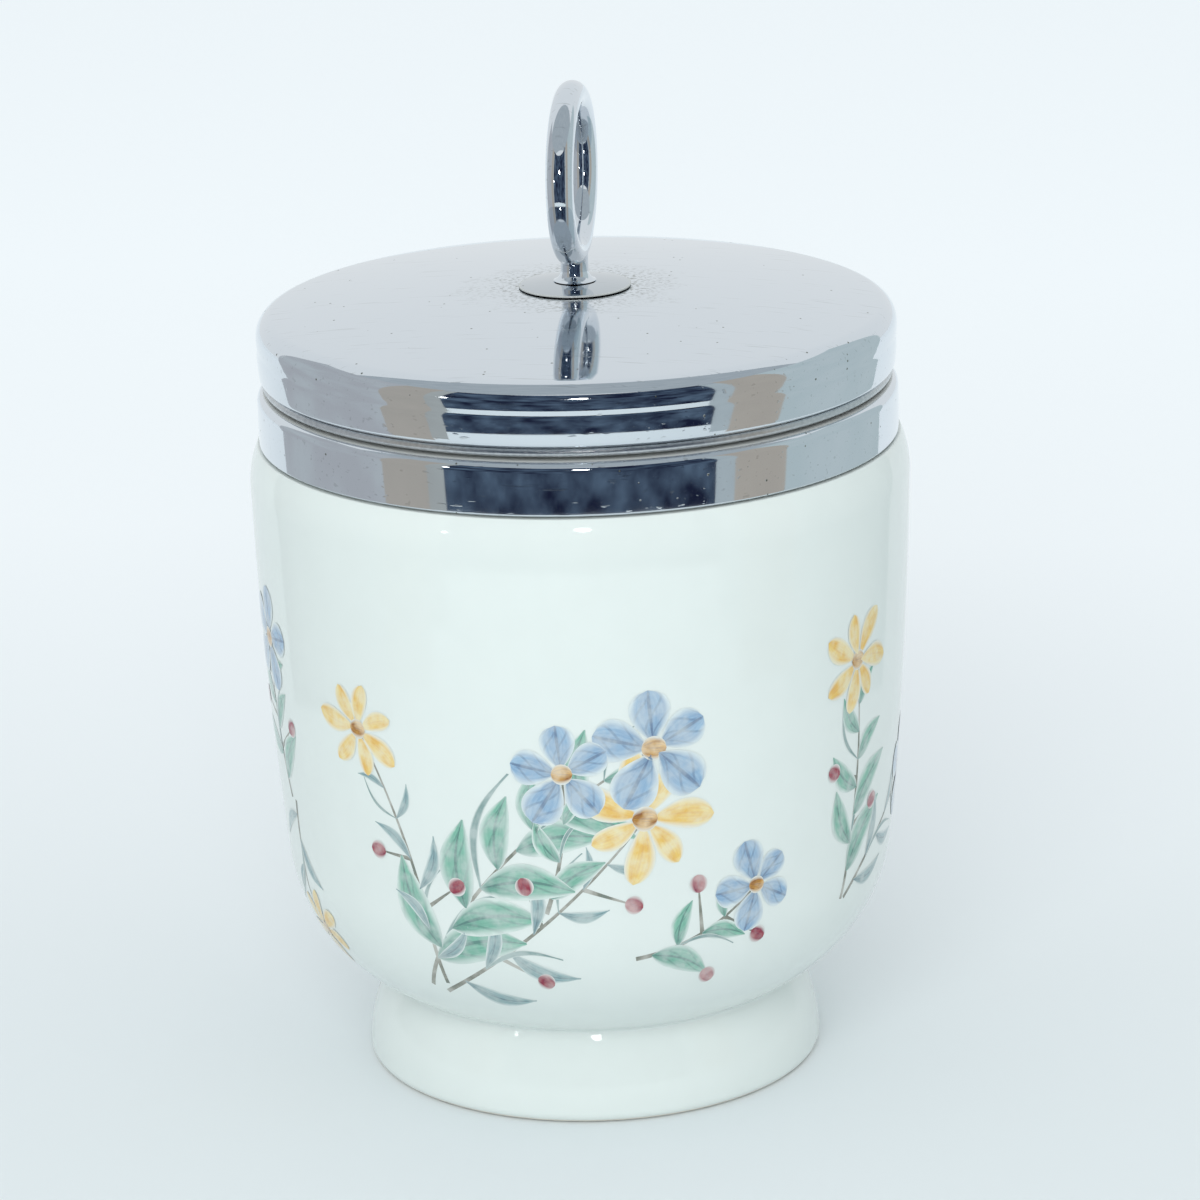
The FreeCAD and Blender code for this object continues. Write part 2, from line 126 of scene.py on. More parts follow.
def edge_points(start: Vector, finish: Vector, curve: float, side: int) -> list[Vector]:
    """Sample the edge between two corners.

    Args:
        start: First corner, as radius and height.
        finish: Last corner.
        curve: Radius of the arc between them, or zero for a straight edge.
        side: 1 where the arc's centre lies left of the way, -1 where it lies right.

    Returns:
        Points after start, up to and including finish.
    """
    if curve == 0.0:
        return [finish]
    chord = finish - start
    reach = math.sqrt(max(curve ** 2 - chord.length_squared / 4, 0.0))
    centre = (start + finish) / 2 + Vector((-chord.y, chord.x)).normalized() * side * reach
    sweep = 2 * math.asin(min(chord.length / (2 * curve), 1.0)) * side
    steps = max(3, math.ceil(abs(sweep) / ARC_STEP), math.ceil(chord.length / LINE_STEP))
    arm = start - centre
    points = []
    for step in range(1, steps + 1):
        angle = sweep * step / steps
        cosine, sine = math.cos(angle), math.sin(angle)
        points.append(centre + Vector((arm.x * cosine - arm.y * sine, arm.x * sine + arm.y * cosine)))
    return points


def walk(points: list[Vector], start: int, step: int, distance: float) -> tuple[Vector, int]:
    """Go a distance along a closed line of points.

    Args:
        points: The closed line.
        start: Index to start from.
        step: 1 forwards or -1 backwards.
        distance: How far to go.

    Returns:
        The point reached, and the index of the next point beyond it.
    """
    here, index = points[start], start
    while True:
        index = (index + step) % len(points)
        length = (points[index] - here).length
        if length >= distance:
            return here.lerp(points[index], distance / length), index
        distance -= length
        here = points[index]


def rounded_corner(points: list[Vector], index: int, radius: float) -> tuple[list[Vector], set[int]]:
    """Work out the arc that rounds one corner.

    Args:
        points: The closed outline.
        index: The corner's index.
        radius: The rounding's radius.

    Returns:
        The arc's points, and the indexes of the outline's points that it takes the place of.
    """
    count = len(points)
    corner = points[index]
    into = (corner - points[index - 1]).normalized()
    away = (points[(index + 1) % count] - corner).normalized()
    turn = into.angle(away)
    cut = radius * math.tan(turn / 2)
    first, before = walk(points, index, -1, cut)
    last, after = walk(points, index, 1, cut)
    weight = math.cos(turn / 2)
    steps = max(4, math.ceil(turn / CORNER_STEP))
    arc = []
    for step in range(steps + 1):
        part = step / steps
        near, middle, far = (1 - part) ** 2, 2 * weight * part * (1 - part), part ** 2
        arc.append((first * near + corner * middle + last * far) / (near + middle + far))
    gone = set()
    spot = (before + 1) % count
    while spot != after:
        gone.add(spot)
        spot = (spot + 1) % count
    return arc, gone


def outline_points(corners: list[Corner]) -> list[tuple[float, float]]:
    """Sample a closed outline, its arcs and its rounded corners.

    Args:
        corners: The corners in order.

    Returns:
        Radius and height of each point, in millimetres.
    """
    points, roundings = [], {}
    places = [Vector((corner.radius, corner.height)) for corner in corners]
    points.append(places[0])
    for number, corner in enumerate(corners):
        if corner.rounding:
            roundings[len(points) - 1] = corner.rounding
        points += edge_points(places[number], places[(number + 1) % len(places)], corner.curve, corner.side)
    points.pop()
    arcs, gone = {}, set()
    for index, radius in roundings.items():
        arcs[index], removed = rounded_corner(points, index, radius)
        gone |= removed
    result = []
    for index, point in enumerate(points):
        if index in arcs:
            result += arcs[index]
        elif index not in gone:
            result.append(point)
    return [(max(point.x, 0.0), point.y) for point in result]


def new_object(name: str, mesh: bpy.types.Mesh) -> bpy.types.Object:
    """Put a mesh in the scene as a piece.

    Args:
        name: The piece's name.
        mesh: Its mesh.

    Returns:
        The piece.
    """
    piece = bpy.data.objects.new(name, mesh)
    bpy.context.scene.collection.objects.link(piece)
    return piece


def finished_mesh(name: str, shape: bmesh.types.BMesh) -> bpy.types.Mesh:
    """Store a built shape as a mesh.

    Args:
        name: The mesh's name.
        shape: The shape, which is used up.

    Returns:
        The mesh.
    """
    mesh = bpy.data.meshes.new(name)
    shape.to_mesh(mesh)
    shape.free()
    return mesh


def smooth(mesh: bpy.types.Mesh, angle: float = 32.0) -> None:
    """Shade a mesh smooth, with sharp edges where its faces turn away steeply.

    Args:
        mesh: The mesh.
        angle: The angle between faces past which their edge is sharp, in degrees.
    """
    for face in mesh.polygons:
        face.use_smooth = True
    mesh.set_sharp_from_angle(angle=math.radians(angle))


def turned(name: str, corners: list[Corner], steps: int = TURN_STEPS) -> bpy.types.Object:
    """Turn a closed outline about Z into a closed mesh.

    Args:
        name: The piece's name.
        corners: The outline, in millimetres.
        steps: How many faces go round.

    Returns:
        The new piece.
    """
    shape = bmesh.new()
    rings = []
    for radius, height in outline_points(corners):
        if radius < ON_AXIS:
            rings.append([shape.verts.new((0, 0, height * MM))])
            continue
        ring = []
        for step in range(steps):
            angle = 2 * math.pi * step / steps
            across, along = radius * MM * math.cos(angle), radius * MM * math.sin(angle)
            ring.append(shape.verts.new((across, along, height * MM)))
        rings.append(ring)
    for number, ring in enumerate(rings):
        following = rings[(number + 1) % len(rings)]
        if len(ring) == 1 and len(following) == 1:
            continue
        for step in range(steps):
            after = (step + 1) % steps
            if len(ring) == 1:
                shape.faces.new((ring[0], following[after], following[step]))
            elif len(following) == 1:
                shape.faces.new((ring[step], ring[after], following[0]))
            else:
                shape.faces.new((ring[step], ring[after], following[after], following[step]))
    bmesh.ops.recalc_face_normals(shape, faces=shape.faces)
    mesh = finished_mesh(name, shape)
    smooth(mesh)
    return new_object(name, mesh)


# Nodes

def add_node(tree: bpy.types.NodeTree, kind: str, links: dict[str | int, object] | None = None,
             **settings: object) -> bpy.types.Node:
    """Add a node with its settings, socket values and links.

    Args:
        tree: The tree that the node goes into.
        kind: The node's type.
        links: Input name or number to a value, or to an output socket.
        **settings: The node's own properties.

    Returns:
        The node.
    """
    node = tree.nodes.new(kind)
    for key, setting in settings.items():
        setattr(node, key, setting)
    for key, source in (links or {}).items():
        socket = node.inputs[key]
        if isinstance(source, bpy.types.NodeSocket):
            tree.links.new(source, socket)
        else:
            socket.default_value = source
    return node


def new_material(name: str) -> tuple[bpy.types.Material, bpy.types.NodeTree, bpy.types.Node]:
    """Start a material that holds only a principled shader.

    Args:
        name: The material's name.

    Returns:
        The material, its tree and its shader node.
    """
    material = bpy.data.materials.new(name)
    material.use_nodes = True
    tree = material.node_tree
    tree.nodes.clear()
    shader = add_node(tree, "ShaderNodeBsdfPrincipled")
    add_node(tree, "ShaderNodeOutputMaterial", {"Surface": shader.outputs[0]})
    return material, tree, shader


def object_place(tree: bpy.types.NodeTree) -> Socket:
    """Return the object coordinates, in metres."""
    return add_node(tree, "ShaderNodeTexCoord").outputs["Object"]


def noise(tree: bpy.types.NodeTree, place: Socket, size_mm: float, detail: float = 2.0) -> Socket:
    """Add cloudy noise.

    Args:
        tree: The material's tree.
        place: Coordinates in metres.
        size_mm: Size of its clouds, in millimetres.
        detail: How many finer layers it has.

    Returns:
        The noise, about one half on the whole.
    """
    texture = add_node(tree, "ShaderNodeTexNoise", {
        "Vector": place, "Scale": 1 / (size_mm * MM), "Detail": detail})
    return texture.outputs[0]


def add_relief(tree: bpy.types.NodeTree, height: Socket, strength: float, depth_mm: float,
               shader: bpy.types.Node) -> None:
    """Tilt the light on a surface as if it had relief.

    Args:
        tree: The material's tree.
        height: The relief.
        strength: Its share of the full tilt.
        depth_mm: Its depth, in millimetres.
        shader: The shader that it goes to.
    """
    bump = add_node(tree, "ShaderNodeBump", {
        "Height": height, "Strength": strength, "Distance": depth_mm * MM})
    tree.links.new(bump.outputs[0], shader.inputs["Normal"])


def ramp(tree: bpy.types.NodeTree, source: Socket, low: float, high: float,
         start: float = 0.0, finish: float = 1.0) -> Socket:
    """Map a number from one range to another, clamped.

    Args:
        tree: The tree.
        source: The number.
        low: Value that becomes start.
        high: Value that becomes finish.
        start: Result at low.
        finish: Result at high.

    Returns:
        The result socket.
    """
    node = add_node(tree, "ShaderNodeMapRange", {"Value": source, "From Min": low, "From Max": high,
                                                 "To Min": start, "To Max": finish})
    return node.outputs[0]


def arithmetic(tree: bpy.types.NodeTree, operation: str, first: Number, second: Number = 0.0) -> Socket:
    """Return two numbers combined by one of the math node's operations."""
    return add_node(tree, "ShaderNodeMath", {0: first, 1: second}, operation=operation).outputs[0]


def blend_colours(tree: bpy.types.NodeTree, factor: Number, first: Tint, second: Tint) -> Socket:
    """Return the first colour where the factor is zero, and the second where it is one."""
    node = add_node(tree, "ShaderNodeMix", {0: factor, 6: first, 7: second}, data_type="RGBA")
    return node.outputs[2]


# Finishes

@dataclass(frozen=True)
class GlazedPorcelain:
    """White bone china, slip cast and clear glazed: a cool even white with small sharp highlights.

    The glaze has pooled into a faint ripple, so mirrored edges wander a little. The rim that the pot
    stood on in the kiln is bare, dull and warmer.
    """

    name: str = "bone_china_clear_glaze"
    body: str = "#dbe3e0"
    body_shade: str = "#d6dedb"
    biscuit: str = "#d9d5cb"
    roughness: float = 0.055
    bare_roughness: float = 0.7
    refraction: float = 1.5
    cloud_mm: float = 4.0
    cloud_strength: float = 0.25
    ripple_mm: float = 9.0
    ripple_depth_mm: float = 0.2
    ripple_strength: float = 0.06
    bare_top_mm: float = 0.25
    glaze_edge_mm: float = 0.45

    def build(self) -> bpy.types.Material:
        """Build the white body, the rippled glaze and the bare rim under the foot.

        Returns:
            The material.
        """
        material, tree, shader = new_material(self.name)
        place = object_place(tree)
        height = add_node(tree, "ShaderNodeSeparateXYZ", {0: place}).outputs[2]
        bare = ramp(tree, height, self.bare_top_mm * MM, self.glaze_edge_mm * MM, 1.0, 0.0)
        cloud = noise(tree, place, self.cloud_mm, 3.0)
        shade = ramp(tree, cloud, 0.35, 0.65, 0.0, self.cloud_strength)
        white = blend_colours(tree, shade, to_linear(self.body), to_linear(self.body_shade))
        tree.links.new(blend_colours(tree, bare, white, to_linear(self.biscuit)), shader.inputs["Base Color"])
        rough = ramp(tree, bare, 0.0, 1.0, self.roughness, self.bare_roughness)
        tree.links.new(rough, shader.inputs["Roughness"])
        ripple = noise(tree, place, self.ripple_mm)
        add_relief(tree, ripple, self.ripple_strength, self.ripple_depth_mm, shader)
        shader.inputs["IOR"].default_value = self.refraction
        return material


@dataclass(frozen=True)
class ChromePlate:
    """Sheet metal or wire, polished and chrome plated: a cool mirror that wear has broken up.

    Pits show as small dark specks in patches, hairlines as fine scratches that run two ways. Steam has
    left a crust of pits in the lid's middle, and hard water a pale dull crust along the washer's rim. A
    pale dull band on the collar's ledge is painted light, standing in for the light seen in the gap under
    the lid. The hairlines are drawn coarser than real ones, so that they show.
    """

    name: str
    metal: str = "#dde3e9"
    stain: str = "#80827a"
    # Pale dull colour of the washer rim's crust, and of the painted light on the collar's ledge
    scale_and_gap_light: str = "#c2c6c4"
    roughness: float = 0.045
    worn_roughness: float = 0.35
    pits: float = 0.25
    pit_spacing_mm: float = 0.75
    pit_patch_mm: float = 9.0
    hairlines: float = 0.5
    hairline_per_metre: tuple[float, float, float] = (130.0, 3000.0, 2400.0)
    hairline_turns: tuple[float, float] = (0.35, -0.6)
    hairline_shifts: tuple[float, float] = (0.0, 0.013)
    haze_mm: float = 6.0
    relief_mm: float = 0.012
    worn_centre_mm: float = 0.0
    crumb_mm: float = 0.4
    crust_edge_mm: float = 2.2
    crust_wander_mm: float = 2.4
    crust_strength: float = 0.85
    gap_light_ledge_mm: float = 0.0
    gap_light_fade_mm: tuple[float, float, float] = (-0.06, 0.5, 0.9)
    scaled_rim_mm: float = 0.0
    rim_width_mm: float = 0.12

    def build(self) -> bpy.types.Material:
        """Build the mirror with its pits, its hairlines and what else the piece's sizes ask for.

        Returns:
            The material.
        """
        material, tree, shader = new_material(self.name)
        place = object_place(tree)
        grit = add_node(tree, "ShaderNodeTexVoronoi", {
            "Vector": place, "Scale": 1 / (self.pit_spacing_mm * MM)})
        chance = add_node(tree, "ShaderNodeSeparateColor", {0: grit.outputs["Color"]}).outputs[0]
        patch = noise(tree, place, self.pit_patch_mm)
        kept = arithmetic(tree, "LESS_THAN", chance, ramp(tree, patch, 0.4, 0.7, 0.0, self.pits))
        dot = ramp(tree, grit.outputs["Distance"], 0.10, 0.16, 1.0, 0.0)
        spots = arithmetic(tree, "MULTIPLY", dot, kept)
        lines = self.hairline_height(tree, place)
        if self.worn_centre_mm:
            spots = arithmetic(tree, "MAXIMUM", spots, self.worn_centre(tree, place))
        faint = arithmetic(tree, "MULTIPLY", lines, 0.4 * self.hairlines)
        spots = arithmetic(tree, "MAXIMUM", spots, faint)
        tint = blend_colours(tree, spots, to_linear(self.metal), to_linear(self.stain))
        shader.inputs["Metallic"].default_value = 1.0
        scale_and_gap_light = self.scale_and_gap_light_mask(tree, place)
        if scale_and_gap_light is not None:
            tint = blend_colours(tree, scale_and_gap_light, tint, to_linear(self.scale_and_gap_light))
            spots = arithmetic(tree, "MAXIMUM", spots, scale_and_gap_light)
            tree.links.new(arithmetic(tree, "SUBTRACT", 1.0, scale_and_gap_light), shader.inputs["Metallic"])
        tree.links.new(tint, shader.inputs["Base Color"])
        haze = noise(tree, place, self.haze_mm, 4.0)
        dull = ramp(tree, haze, 0.3, 0.7, self.roughness * 0.6, self.roughness * 1.5)
        rough = arithmetic(tree, "ADD", dull, arithmetic(tree, "MULTIPLY", spots, self.worn_roughness))
        tree.links.new(rough, shader.inputs["Roughness"])
        relief = arithmetic(tree, "SUBTRACT", arithmetic(tree, "MULTIPLY", lines, self.hairlines), spots)
        add_relief(tree, relief, 0.5, self.relief_mm, shader)
        return material

    def scale_and_gap_light_mask(self, tree: bpy.types.NodeTree, place: Socket) -> Socket | None:
        """Return where a pale dull layer hides the plate: painted light along the collar's ledge, or
        hard-water crust along the washer's rim.

        Args:
            tree: The material's tree.
            place: Object coordinates.

        Returns:
            Zero on clean metal and up to one under the pale layer, or None for a piece that has neither.
        """
        # Painted light: a pale dull band on the collar's ledge stands in for the light seen in the gap under
        # the lid
        if self.gap_light_ledge_mm:
            height = add_node(tree, "ShaderNodeSeparateXYZ", {0: place}).outputs[2]
            edge = self.gap_light_ledge_mm * MM
            start, full, end = (edge + fade * MM for fade in self.gap_light_fade_mm)
            return arithmetic(tree, "MULTIPLY", ramp(tree, height, start, edge),
                              ramp(tree, height, full, end, 1.0, 0.0))
        if self.scaled_rim_mm:
            rim = self.scaled_rim_mm * MM
            inside = rim - self.rim_width_mm * MM
            return ramp(tree, self.reach(tree, place), inside, rim, 0.0, self.crust_strength)
        return None

    def reach(self, tree: bpy.types.NodeTree, place: Socket) -> Socket:
        """Measure how far out from the lid's axis a place lies.

        Args:
            tree: The material's tree.
            place: Object coordinates.

        Returns:
            The distance, in metres.
        """
        flat = add_node(tree, "ShaderNodeVectorMath", {0: place, 1: (1.0, 1.0, 0.0)}, operation="MULTIPLY")
        length = add_node(tree, "ShaderNodeVectorMath", {0: flat.outputs[0]}, operation="LENGTH")
        return length.outputs["Value"]

    def hairline_height(self, tree: bpy.types.NodeTree, place: Socket) -> Socket:
        """Return the relief of fine scratches that run two ways across the surface.

        Args:
            tree: The material's tree.
            place: Object coordinates.

        Returns:
            Zero on clean metal, and one along a scratch.
        """
        ways = []
        for turn, shift in zip(self.hairline_turns, self.hairline_shifts):
            drawn = add_node(tree, "ShaderNodeMapping", {
                "Vector": place, "Location": (shift, shift, 0.0), "Rotation": (0.0, 0.0, turn),
                "Scale": self.hairline_per_metre})
            grain = add_node(tree, "ShaderNodeTexNoise", {
                "Vector": drawn.outputs[0], "Scale": 1.0, "Detail": 1.0})
            ways.append(ramp(tree, grain.outputs[0], 0.69, 0.76))
        return arithmetic(tree, "MAXIMUM", ways[0], ways[1])

    def worn_centre(self, tree: bpy.types.NodeTree, place: Socket) -> Socket:
        """Return the crust of fine pits in a ragged circle round the axis.

        Args:
            tree: The material's tree.
            place: Object coordinates.

        Returns:
            Zero outside the circle, and up to one in a pit.
        """
        ragged = noise(tree, place, self.crust_edge_mm, 3.0)
        wander = self.crust_wander_mm * MM
        edge = arithmetic(tree, "ADD", self.reach(tree, place),
                          ramp(tree, ragged, 0.2, 0.8, -wander, wander))
        rim = self.worn_centre_mm * MM
        zone = ramp(tree, edge, 0.35 * rim, rim, self.crust_strength, 0.0)
        crumbs = noise(tree, place, self.crumb_mm, 5.0)
        return arithmetic(tree, "MULTIPLY", ramp(tree, crumbs, 0.48, 0.62), zone)


@dataclass(frozen=True)
class PlainFinish:
    """A finish with a soft mottle: set cement, moulded rubber, rolled aluminium or zinc-plated steel.

    Two near tones and a fine grain keep it from looking flat where the light rakes across it.
    """

    name: str
    tone: str
    shade: str
    roughness: float
    metallic: float = 0.0
    grain_mm: float = 0.4
    grain_depth_mm: float = 0.02
    grain_strength: float = 0.3

    def build(self) -> bpy.types.Material:
        """Build the two tones and the grain.

        Returns:
            The material.
        """
        material, tree, shader = new_material(self.name)
        grain = noise(tree, object_place(tree), self.grain_mm, 3.0)
        mottle = ramp(tree, grain, 0.3, 0.7)
        tone = blend_colours(tree, mottle, to_linear(self.tone), to_linear(self.shade))
        tree.links.new(tone, shader.inputs["Base Color"])
        shader.inputs["Metallic"].default_value = self.metallic
        shader.inputs["Roughness"].default_value = self.roughness
        add_relief(tree, grain, self.grain_strength, self.grain_depth_mm, shader)
        return material


# What every piece goes through

def dress(piece: bpy.types.Object, material: bpy.types.Material, body: Body, slot: str,
          *nodes: str) -> bpy.types.Object:
    """Give a piece its material and its body, and hide the nodes that it stands for.

    Args:
        piece: The piece.
        material: Its material.
        body: The body that it rides on.
        slot: Not used.
        *nodes: CAD nodes that it replaces.

    Returns:
        The piece.
    """
    piece.data.materials.clear()
    piece.data.materials.append(material)
    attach(piece, body.value)
    if nodes:
        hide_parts(*nodes)
    LOG.info("%s: %d faces on %s", piece.name, len(piece.data.polygons), body.value)
    return piece


class NodeRecipe:
    """A Geometry Nodes tree with named inputs, run once on an object and kept as a plain mesh."""

    def __init__(self, name: str, inputs: dict[str, tuple[str, object]]) -> None:
        """Start the tree.

        Args:
            name: The tree's name.
            inputs: Each input's socket type and value by name.
        """
        self.tree = bpy.data.node_groups.new(name, "GeometryNodeTree")
        self.tree.interface.new_socket(name="Geometry", in_out="INPUT", socket_type="NodeSocketGeometry")
        self.tree.interface.new_socket(name="Geometry", in_out="OUTPUT", socket_type="NodeSocketGeometry")
        self.values: dict[str, object] = {}
        for label, (kind, value) in inputs.items():
            socket = self.tree.interface.new_socket(name=label, in_out="INPUT", socket_type=kind)
            self.values[socket.identifier] = value
        self.start = self.tree.nodes.new("NodeGroupInput")

    def given(self, label: str) -> Socket:
        """Return the socket of a named input."""
        return self.start.outputs[label]

    def finish(self, geometry: Socket, material: Socket) -> None:
        """End the tree in plain geometry with its material.

        Args:
            geometry: What the tree has made.
            material: Its material.
        """
        real = add_node(self.tree, "GeometryNodeRealizeInstances", {"Geometry": geometry})
        finished = add_node(self.tree, "GeometryNodeSetMaterial", {"Geometry": real.outputs[0],
                                                                  "Material": material})
        output = self.tree.nodes.new("NodeGroupOutput")
        self.tree.links.new(finished.outputs[0], output.inputs[0])

    def run(self, piece: bpy.types.Object) -> None:
        """Run the tree on an object and leave it a plain mesh.

        Args:
            piece: The object, whose mesh is the tree's first geometry.
        """
        modifier = piece.modifiers.new(self.tree.name, "NODES")
        modifier.node_group = self.tree
        for identifier, value in self.values.items():
            modifier[identifier] = value
        graph = bpy.context.evaluated_depsgraph_get()
        mesh = bpy.data.meshes.new_from_object(piece.evaluated_get(graph))
        piece.modifiers.remove(modifier)
        piece.data = mesh


# Pieces

@dataclass
class Pot:
    """The porcelain pot, hollow from above and under its foot."""

    waist_height: float = 7.9
    waist_radius: float = 18.2
    foot_flare: float = 2.0
    foot_bulge: float = 14.0
    foot_edge: float = 0.9
    turn_height: float = 20.1
    flank_taper: float = 1.94
    flank_curve: float = 420.0
    turn_curve: float = 15.06
    shoulder_rise: float = 3.45
    shoulder_curve: float = 7.84
    ledge_height: float = 56.75
    ledge_radius: float = 27.95
    neck_base_radius: float = 26.7
    neck_step_height: float = 60.4
    neck_radius: float = 24.8
    neck_wall: float = 2.3
    wall: float = 2.9
    floor_height: float = 9.45
    well_belly_height: float = 51.5
    throat_height: float = 60.0
    throat_curve: float = 12.5
    recess_radius: float = 17.3
    recess_taper: float = 1.6
    recess_depth: float = 5.3
    waist_round: float = 0.35
    ledge_round: float = 0.15
    step_round: float = 0.2
    rim_round: float = 0.9
    throat_round: float = 3.0
    recess_round: float = 1.6
    belly_radius: float = field(init=False)
    rim_height: float = field(init=False)

    def __post_init__(self) -> None:
        """Take the belly and the rim from the frame."""
        self.belly_radius, _, self.rim_height = frame_span("porcelain_cup")

    @property
    def outside(self) -> list[Corner]:
        """Corners of the outside, from the waist up to the rim.

        Returns:
            The corners.
        """
        belly_height = self.ledge_height - self.shoulder_rise
        return [
            Corner(self.waist_radius, self.waist_height, self.waist_round, self.turn_curve),
            Corner(self.belly_radius - self.flank_taper, self.turn_height, 0.0, self.flank_curve),
            Corner(self.belly_radius, belly_height, 0.0, self.shoulder_curve),
            Corner(self.ledge_radius, self.ledge_height, self.ledge_round),
            Corner(self.neck_base_radius, self.ledge_height),
            Corner(self.neck_base_radius, self.neck_step_height, self.step_round),
            Corner(self.neck_radius, self.neck_step_height),
            Corner(self.neck_radius, self.rim_height, self.rim_round),
        ]

    @property
    def inside(self) -> list[Corner]:
        """Corners of the egg well, from the rim down to its floor.

        Returns:
            The corners.
        """
        mouth = self.neck_radius - self.neck_wall
        inner_turn = self.turn_curve - self.wall
        turn_end = self.belly_radius - self.flank_taper - self.wall
        rise = self.turn_height - self.floor_height
        floor_radius = turn_end - math.sqrt(inner_turn ** 2 - (inner_turn - rise) ** 2)
        return [
            Corner(mouth, self.rim_height, self.rim_round),
            Corner(mouth, self.throat_height, self.throat_round, self.throat_curve, -1),
            Corner(self.belly_radius - self.wall, self.well_belly_height, 0.0, self.flank_curve, -1),
            Corner(turn_end, self.turn_height, 0.0, inner_turn, -1),
            Corner(floor_radius, self.floor_height),
            Corner(0.0, self.floor_height),
        ]

    @property
    def underside(self) -> list[Corner]:
        """Corners of the foot, from the middle of its recess out to the resting ring.

        Returns:
            The corners.
        """
        return [
            Corner(0.0, self.recess_depth),
            Corner(self.recess_radius - self.recess_taper, self.recess_depth, self.recess_round),
            Corner(self.recess_radius, 0.0, self.foot_edge),
            Corner(self.waist_radius + self.foot_flare, 0.0, self.foot_edge, self.foot_bulge),
        ]

    def surface_radius(self, height: float) -> float:
        """Find how far out the pot's wall stands.

        Args:
            height: Height above the table, in millimetres.

        Returns:
            The outer radius there, in millimetres.
        """
        line = outline_points(self.underside + self.outside + self.inside)
        line = [point for point in line if point[0] > self.waist_radius - 1 and point[1] > self.waist_height]
        for (near, low), (far, high) in zip(line, line[1:]):
            if low <= height <= high and high > low:
                return near + (far - near) * (height - low) / (high - low)
        return self.belly_radius

    def build(self, glaze: bpy.types.Material) -> bpy.types.Object:
        """Turn the pot and dress it in its glaze."""
        piece = turned("pot_porcelain", self.underside + self.outside + self.inside)
        return dress(piece, glaze, Body.POT, "porcelain", "porcelain_cup")


class TouchKind(Enum):
    """The kinds of painted touch, in the order in which they are painted."""

    STEM = "stem"
    BLADE = "blade"
    SLIM_LEAF = "slim_leaf"
    BROAD_LEAF = "broad_leaf"
    BERRY = "berry"
    YELLOW_PETAL = "yellow_petal"
    BLUE_PETAL = "blue_petal"
    EYE = "eye"


class Blossom(Enum):
    """The kinds of blossom, by how many petals each has."""

    BLUE = 5
    YELLOW = 7

    @property
    def petal(self) -> TouchKind:
        """Return the kind of touch that paints one petal."""
        return TouchKind.BLUE_PETAL if self is Blossom.BLUE else TouchKind.YELLOW_PETAL


@dataclass(frozen=True)
class UnderglazePaint:
    """Ceramic colour brushed on under the glaze: streaky, thin at its edges, the white showing through.

    The streaks run along each touch, as a brush leaves them, and a wash of darker and lighter patches
    crosses them. Leaves and blue petals have a darker vein and ribs.
    """

    name: str
    tone: str
    shade: str
    vein: str = ""
    cover: float = 0.9
    even: bool = False
    ground: str = "#dbe3e0"
    roughness: float = 0.055
    refraction: float = 1.5
    wash_mm: float = 1.6
    strokes_along: float = 1.6
    strokes_across: float = 11.0

    def build(self) -> bpy.types.Material:
        """Build the colour from the touch's own length and width coordinates.

        Returns:
            The material.
        """
        material, tree, shader = new_material(self.name)
        flat = add_node(tree, "ShaderNodeUVMap", uv_map="UVMap").outputs[0]
        parts = add_node(tree, "ShaderNodeSeparateXYZ", {0: flat}).outputs
        place = object_place(tree)
        side = arithmetic(tree, "ABSOLUTE", arithmetic(tree, "SUBTRACT", parts[1], 0.5))
        strokes = add_node(tree, "ShaderNodeMapping", {
            "Vector": flat, "Scale": (self.strokes_along, self.strokes_across, 1.0)})
        streak = add_node(tree, "ShaderNodeTexNoise", {
            "Vector": strokes.outputs[0], "Scale": 1.0, "Detail": 3.0})
        wash = noise(tree, place, self.wash_mm, 3.0)
        body = ramp(tree, arithmetic(tree, "ADD", streak.outputs[0], wash), 0.75, 1.25)
        colour = blend_colours(tree, body, to_linear(self.tone), to_linear(self.shade))
        if self.vein:
            colour = self.veined(tree, colour, flat, parts[0], side)
        ragged = arithmetic(tree, "ADD", side, ramp(tree, wash, 0.3, 0.7, -0.07, 0.07))
        thin = self.cover if self.even else ramp(tree, ragged, 0.30, 0.50, self.cover, 0.15)
        patch = ramp(tree, wash, 0.35, 0.62, 0.55, 1.0)
        paint = arithmetic(tree, "MULTIPLY", thin, patch)
        painted = blend_colours(tree, paint, to_linear(self.ground), colour)
        tree.links.new(painted, shader.inputs["Base Color"])
        shader.inputs["Roughness"].default_value = self.roughness
        shader.inputs["IOR"].default_value = self.refraction
        return material

    def veined(self, tree: bpy.types.NodeTree, colour: Socket, flat: Socket, along: Socket,
               side: Socket) -> Socket:
        """Darken a touch at its root, down its middle and along slanting ribs.

        Args:
            tree: The material's tree.
            colour: The colour so far.
            flat: The touch's own coordinates.
            along: How far along the touch a place lies.
            side: How far from its middle line.

        Returns:
            The colour with its veins.
        """
        dark = to_linear(self.vein)
        colour = blend_colours(tree, ramp(tree, along, 0.0, 0.4, 0.6, 0.0), colour, dark)
        middle = ramp(tree, side, 0.03, 0.06, 0.8, 0.0)
        ribs = add_node(tree, "ShaderNodeTexWave", {"Vector": flat, "Scale": 1.6, "Distortion": 0.6},
                        wave_type="BANDS", bands_direction="DIAGONAL")
        rib = ramp(tree, ribs.outputs["Fac"], 0.86, 0.97, 0.0, 0.45)
        return blend_colours(tree, arithmetic(tree, "MAXIMUM", middle, rib), colour, dark)


@dataclass(frozen=True)
class TouchShape:
    """The outline of one kind of touch, as shares of its length."""

    width: float
    blunt: float
    skew: float
    bow: float


@dataclass(frozen=True)
class Touch:
    """One painted touch: where it starts on the unrolled pot, its direction in degrees and its length."""

    across: float
    height: float
    turn: float
    size: float


@dataclass(frozen=True)
class Sprig:
    """One curved stem with its leaves, its blossom and its berries, in millimetres on the unrolled pot."""

    across: float
    height: float
    heading: float
    length: float
    bend: float
    leaves: int
    leaf_size: float
    leaf_kind: TouchKind
    blossom: Blossom
    blossom_size: float
    berries: int = 0


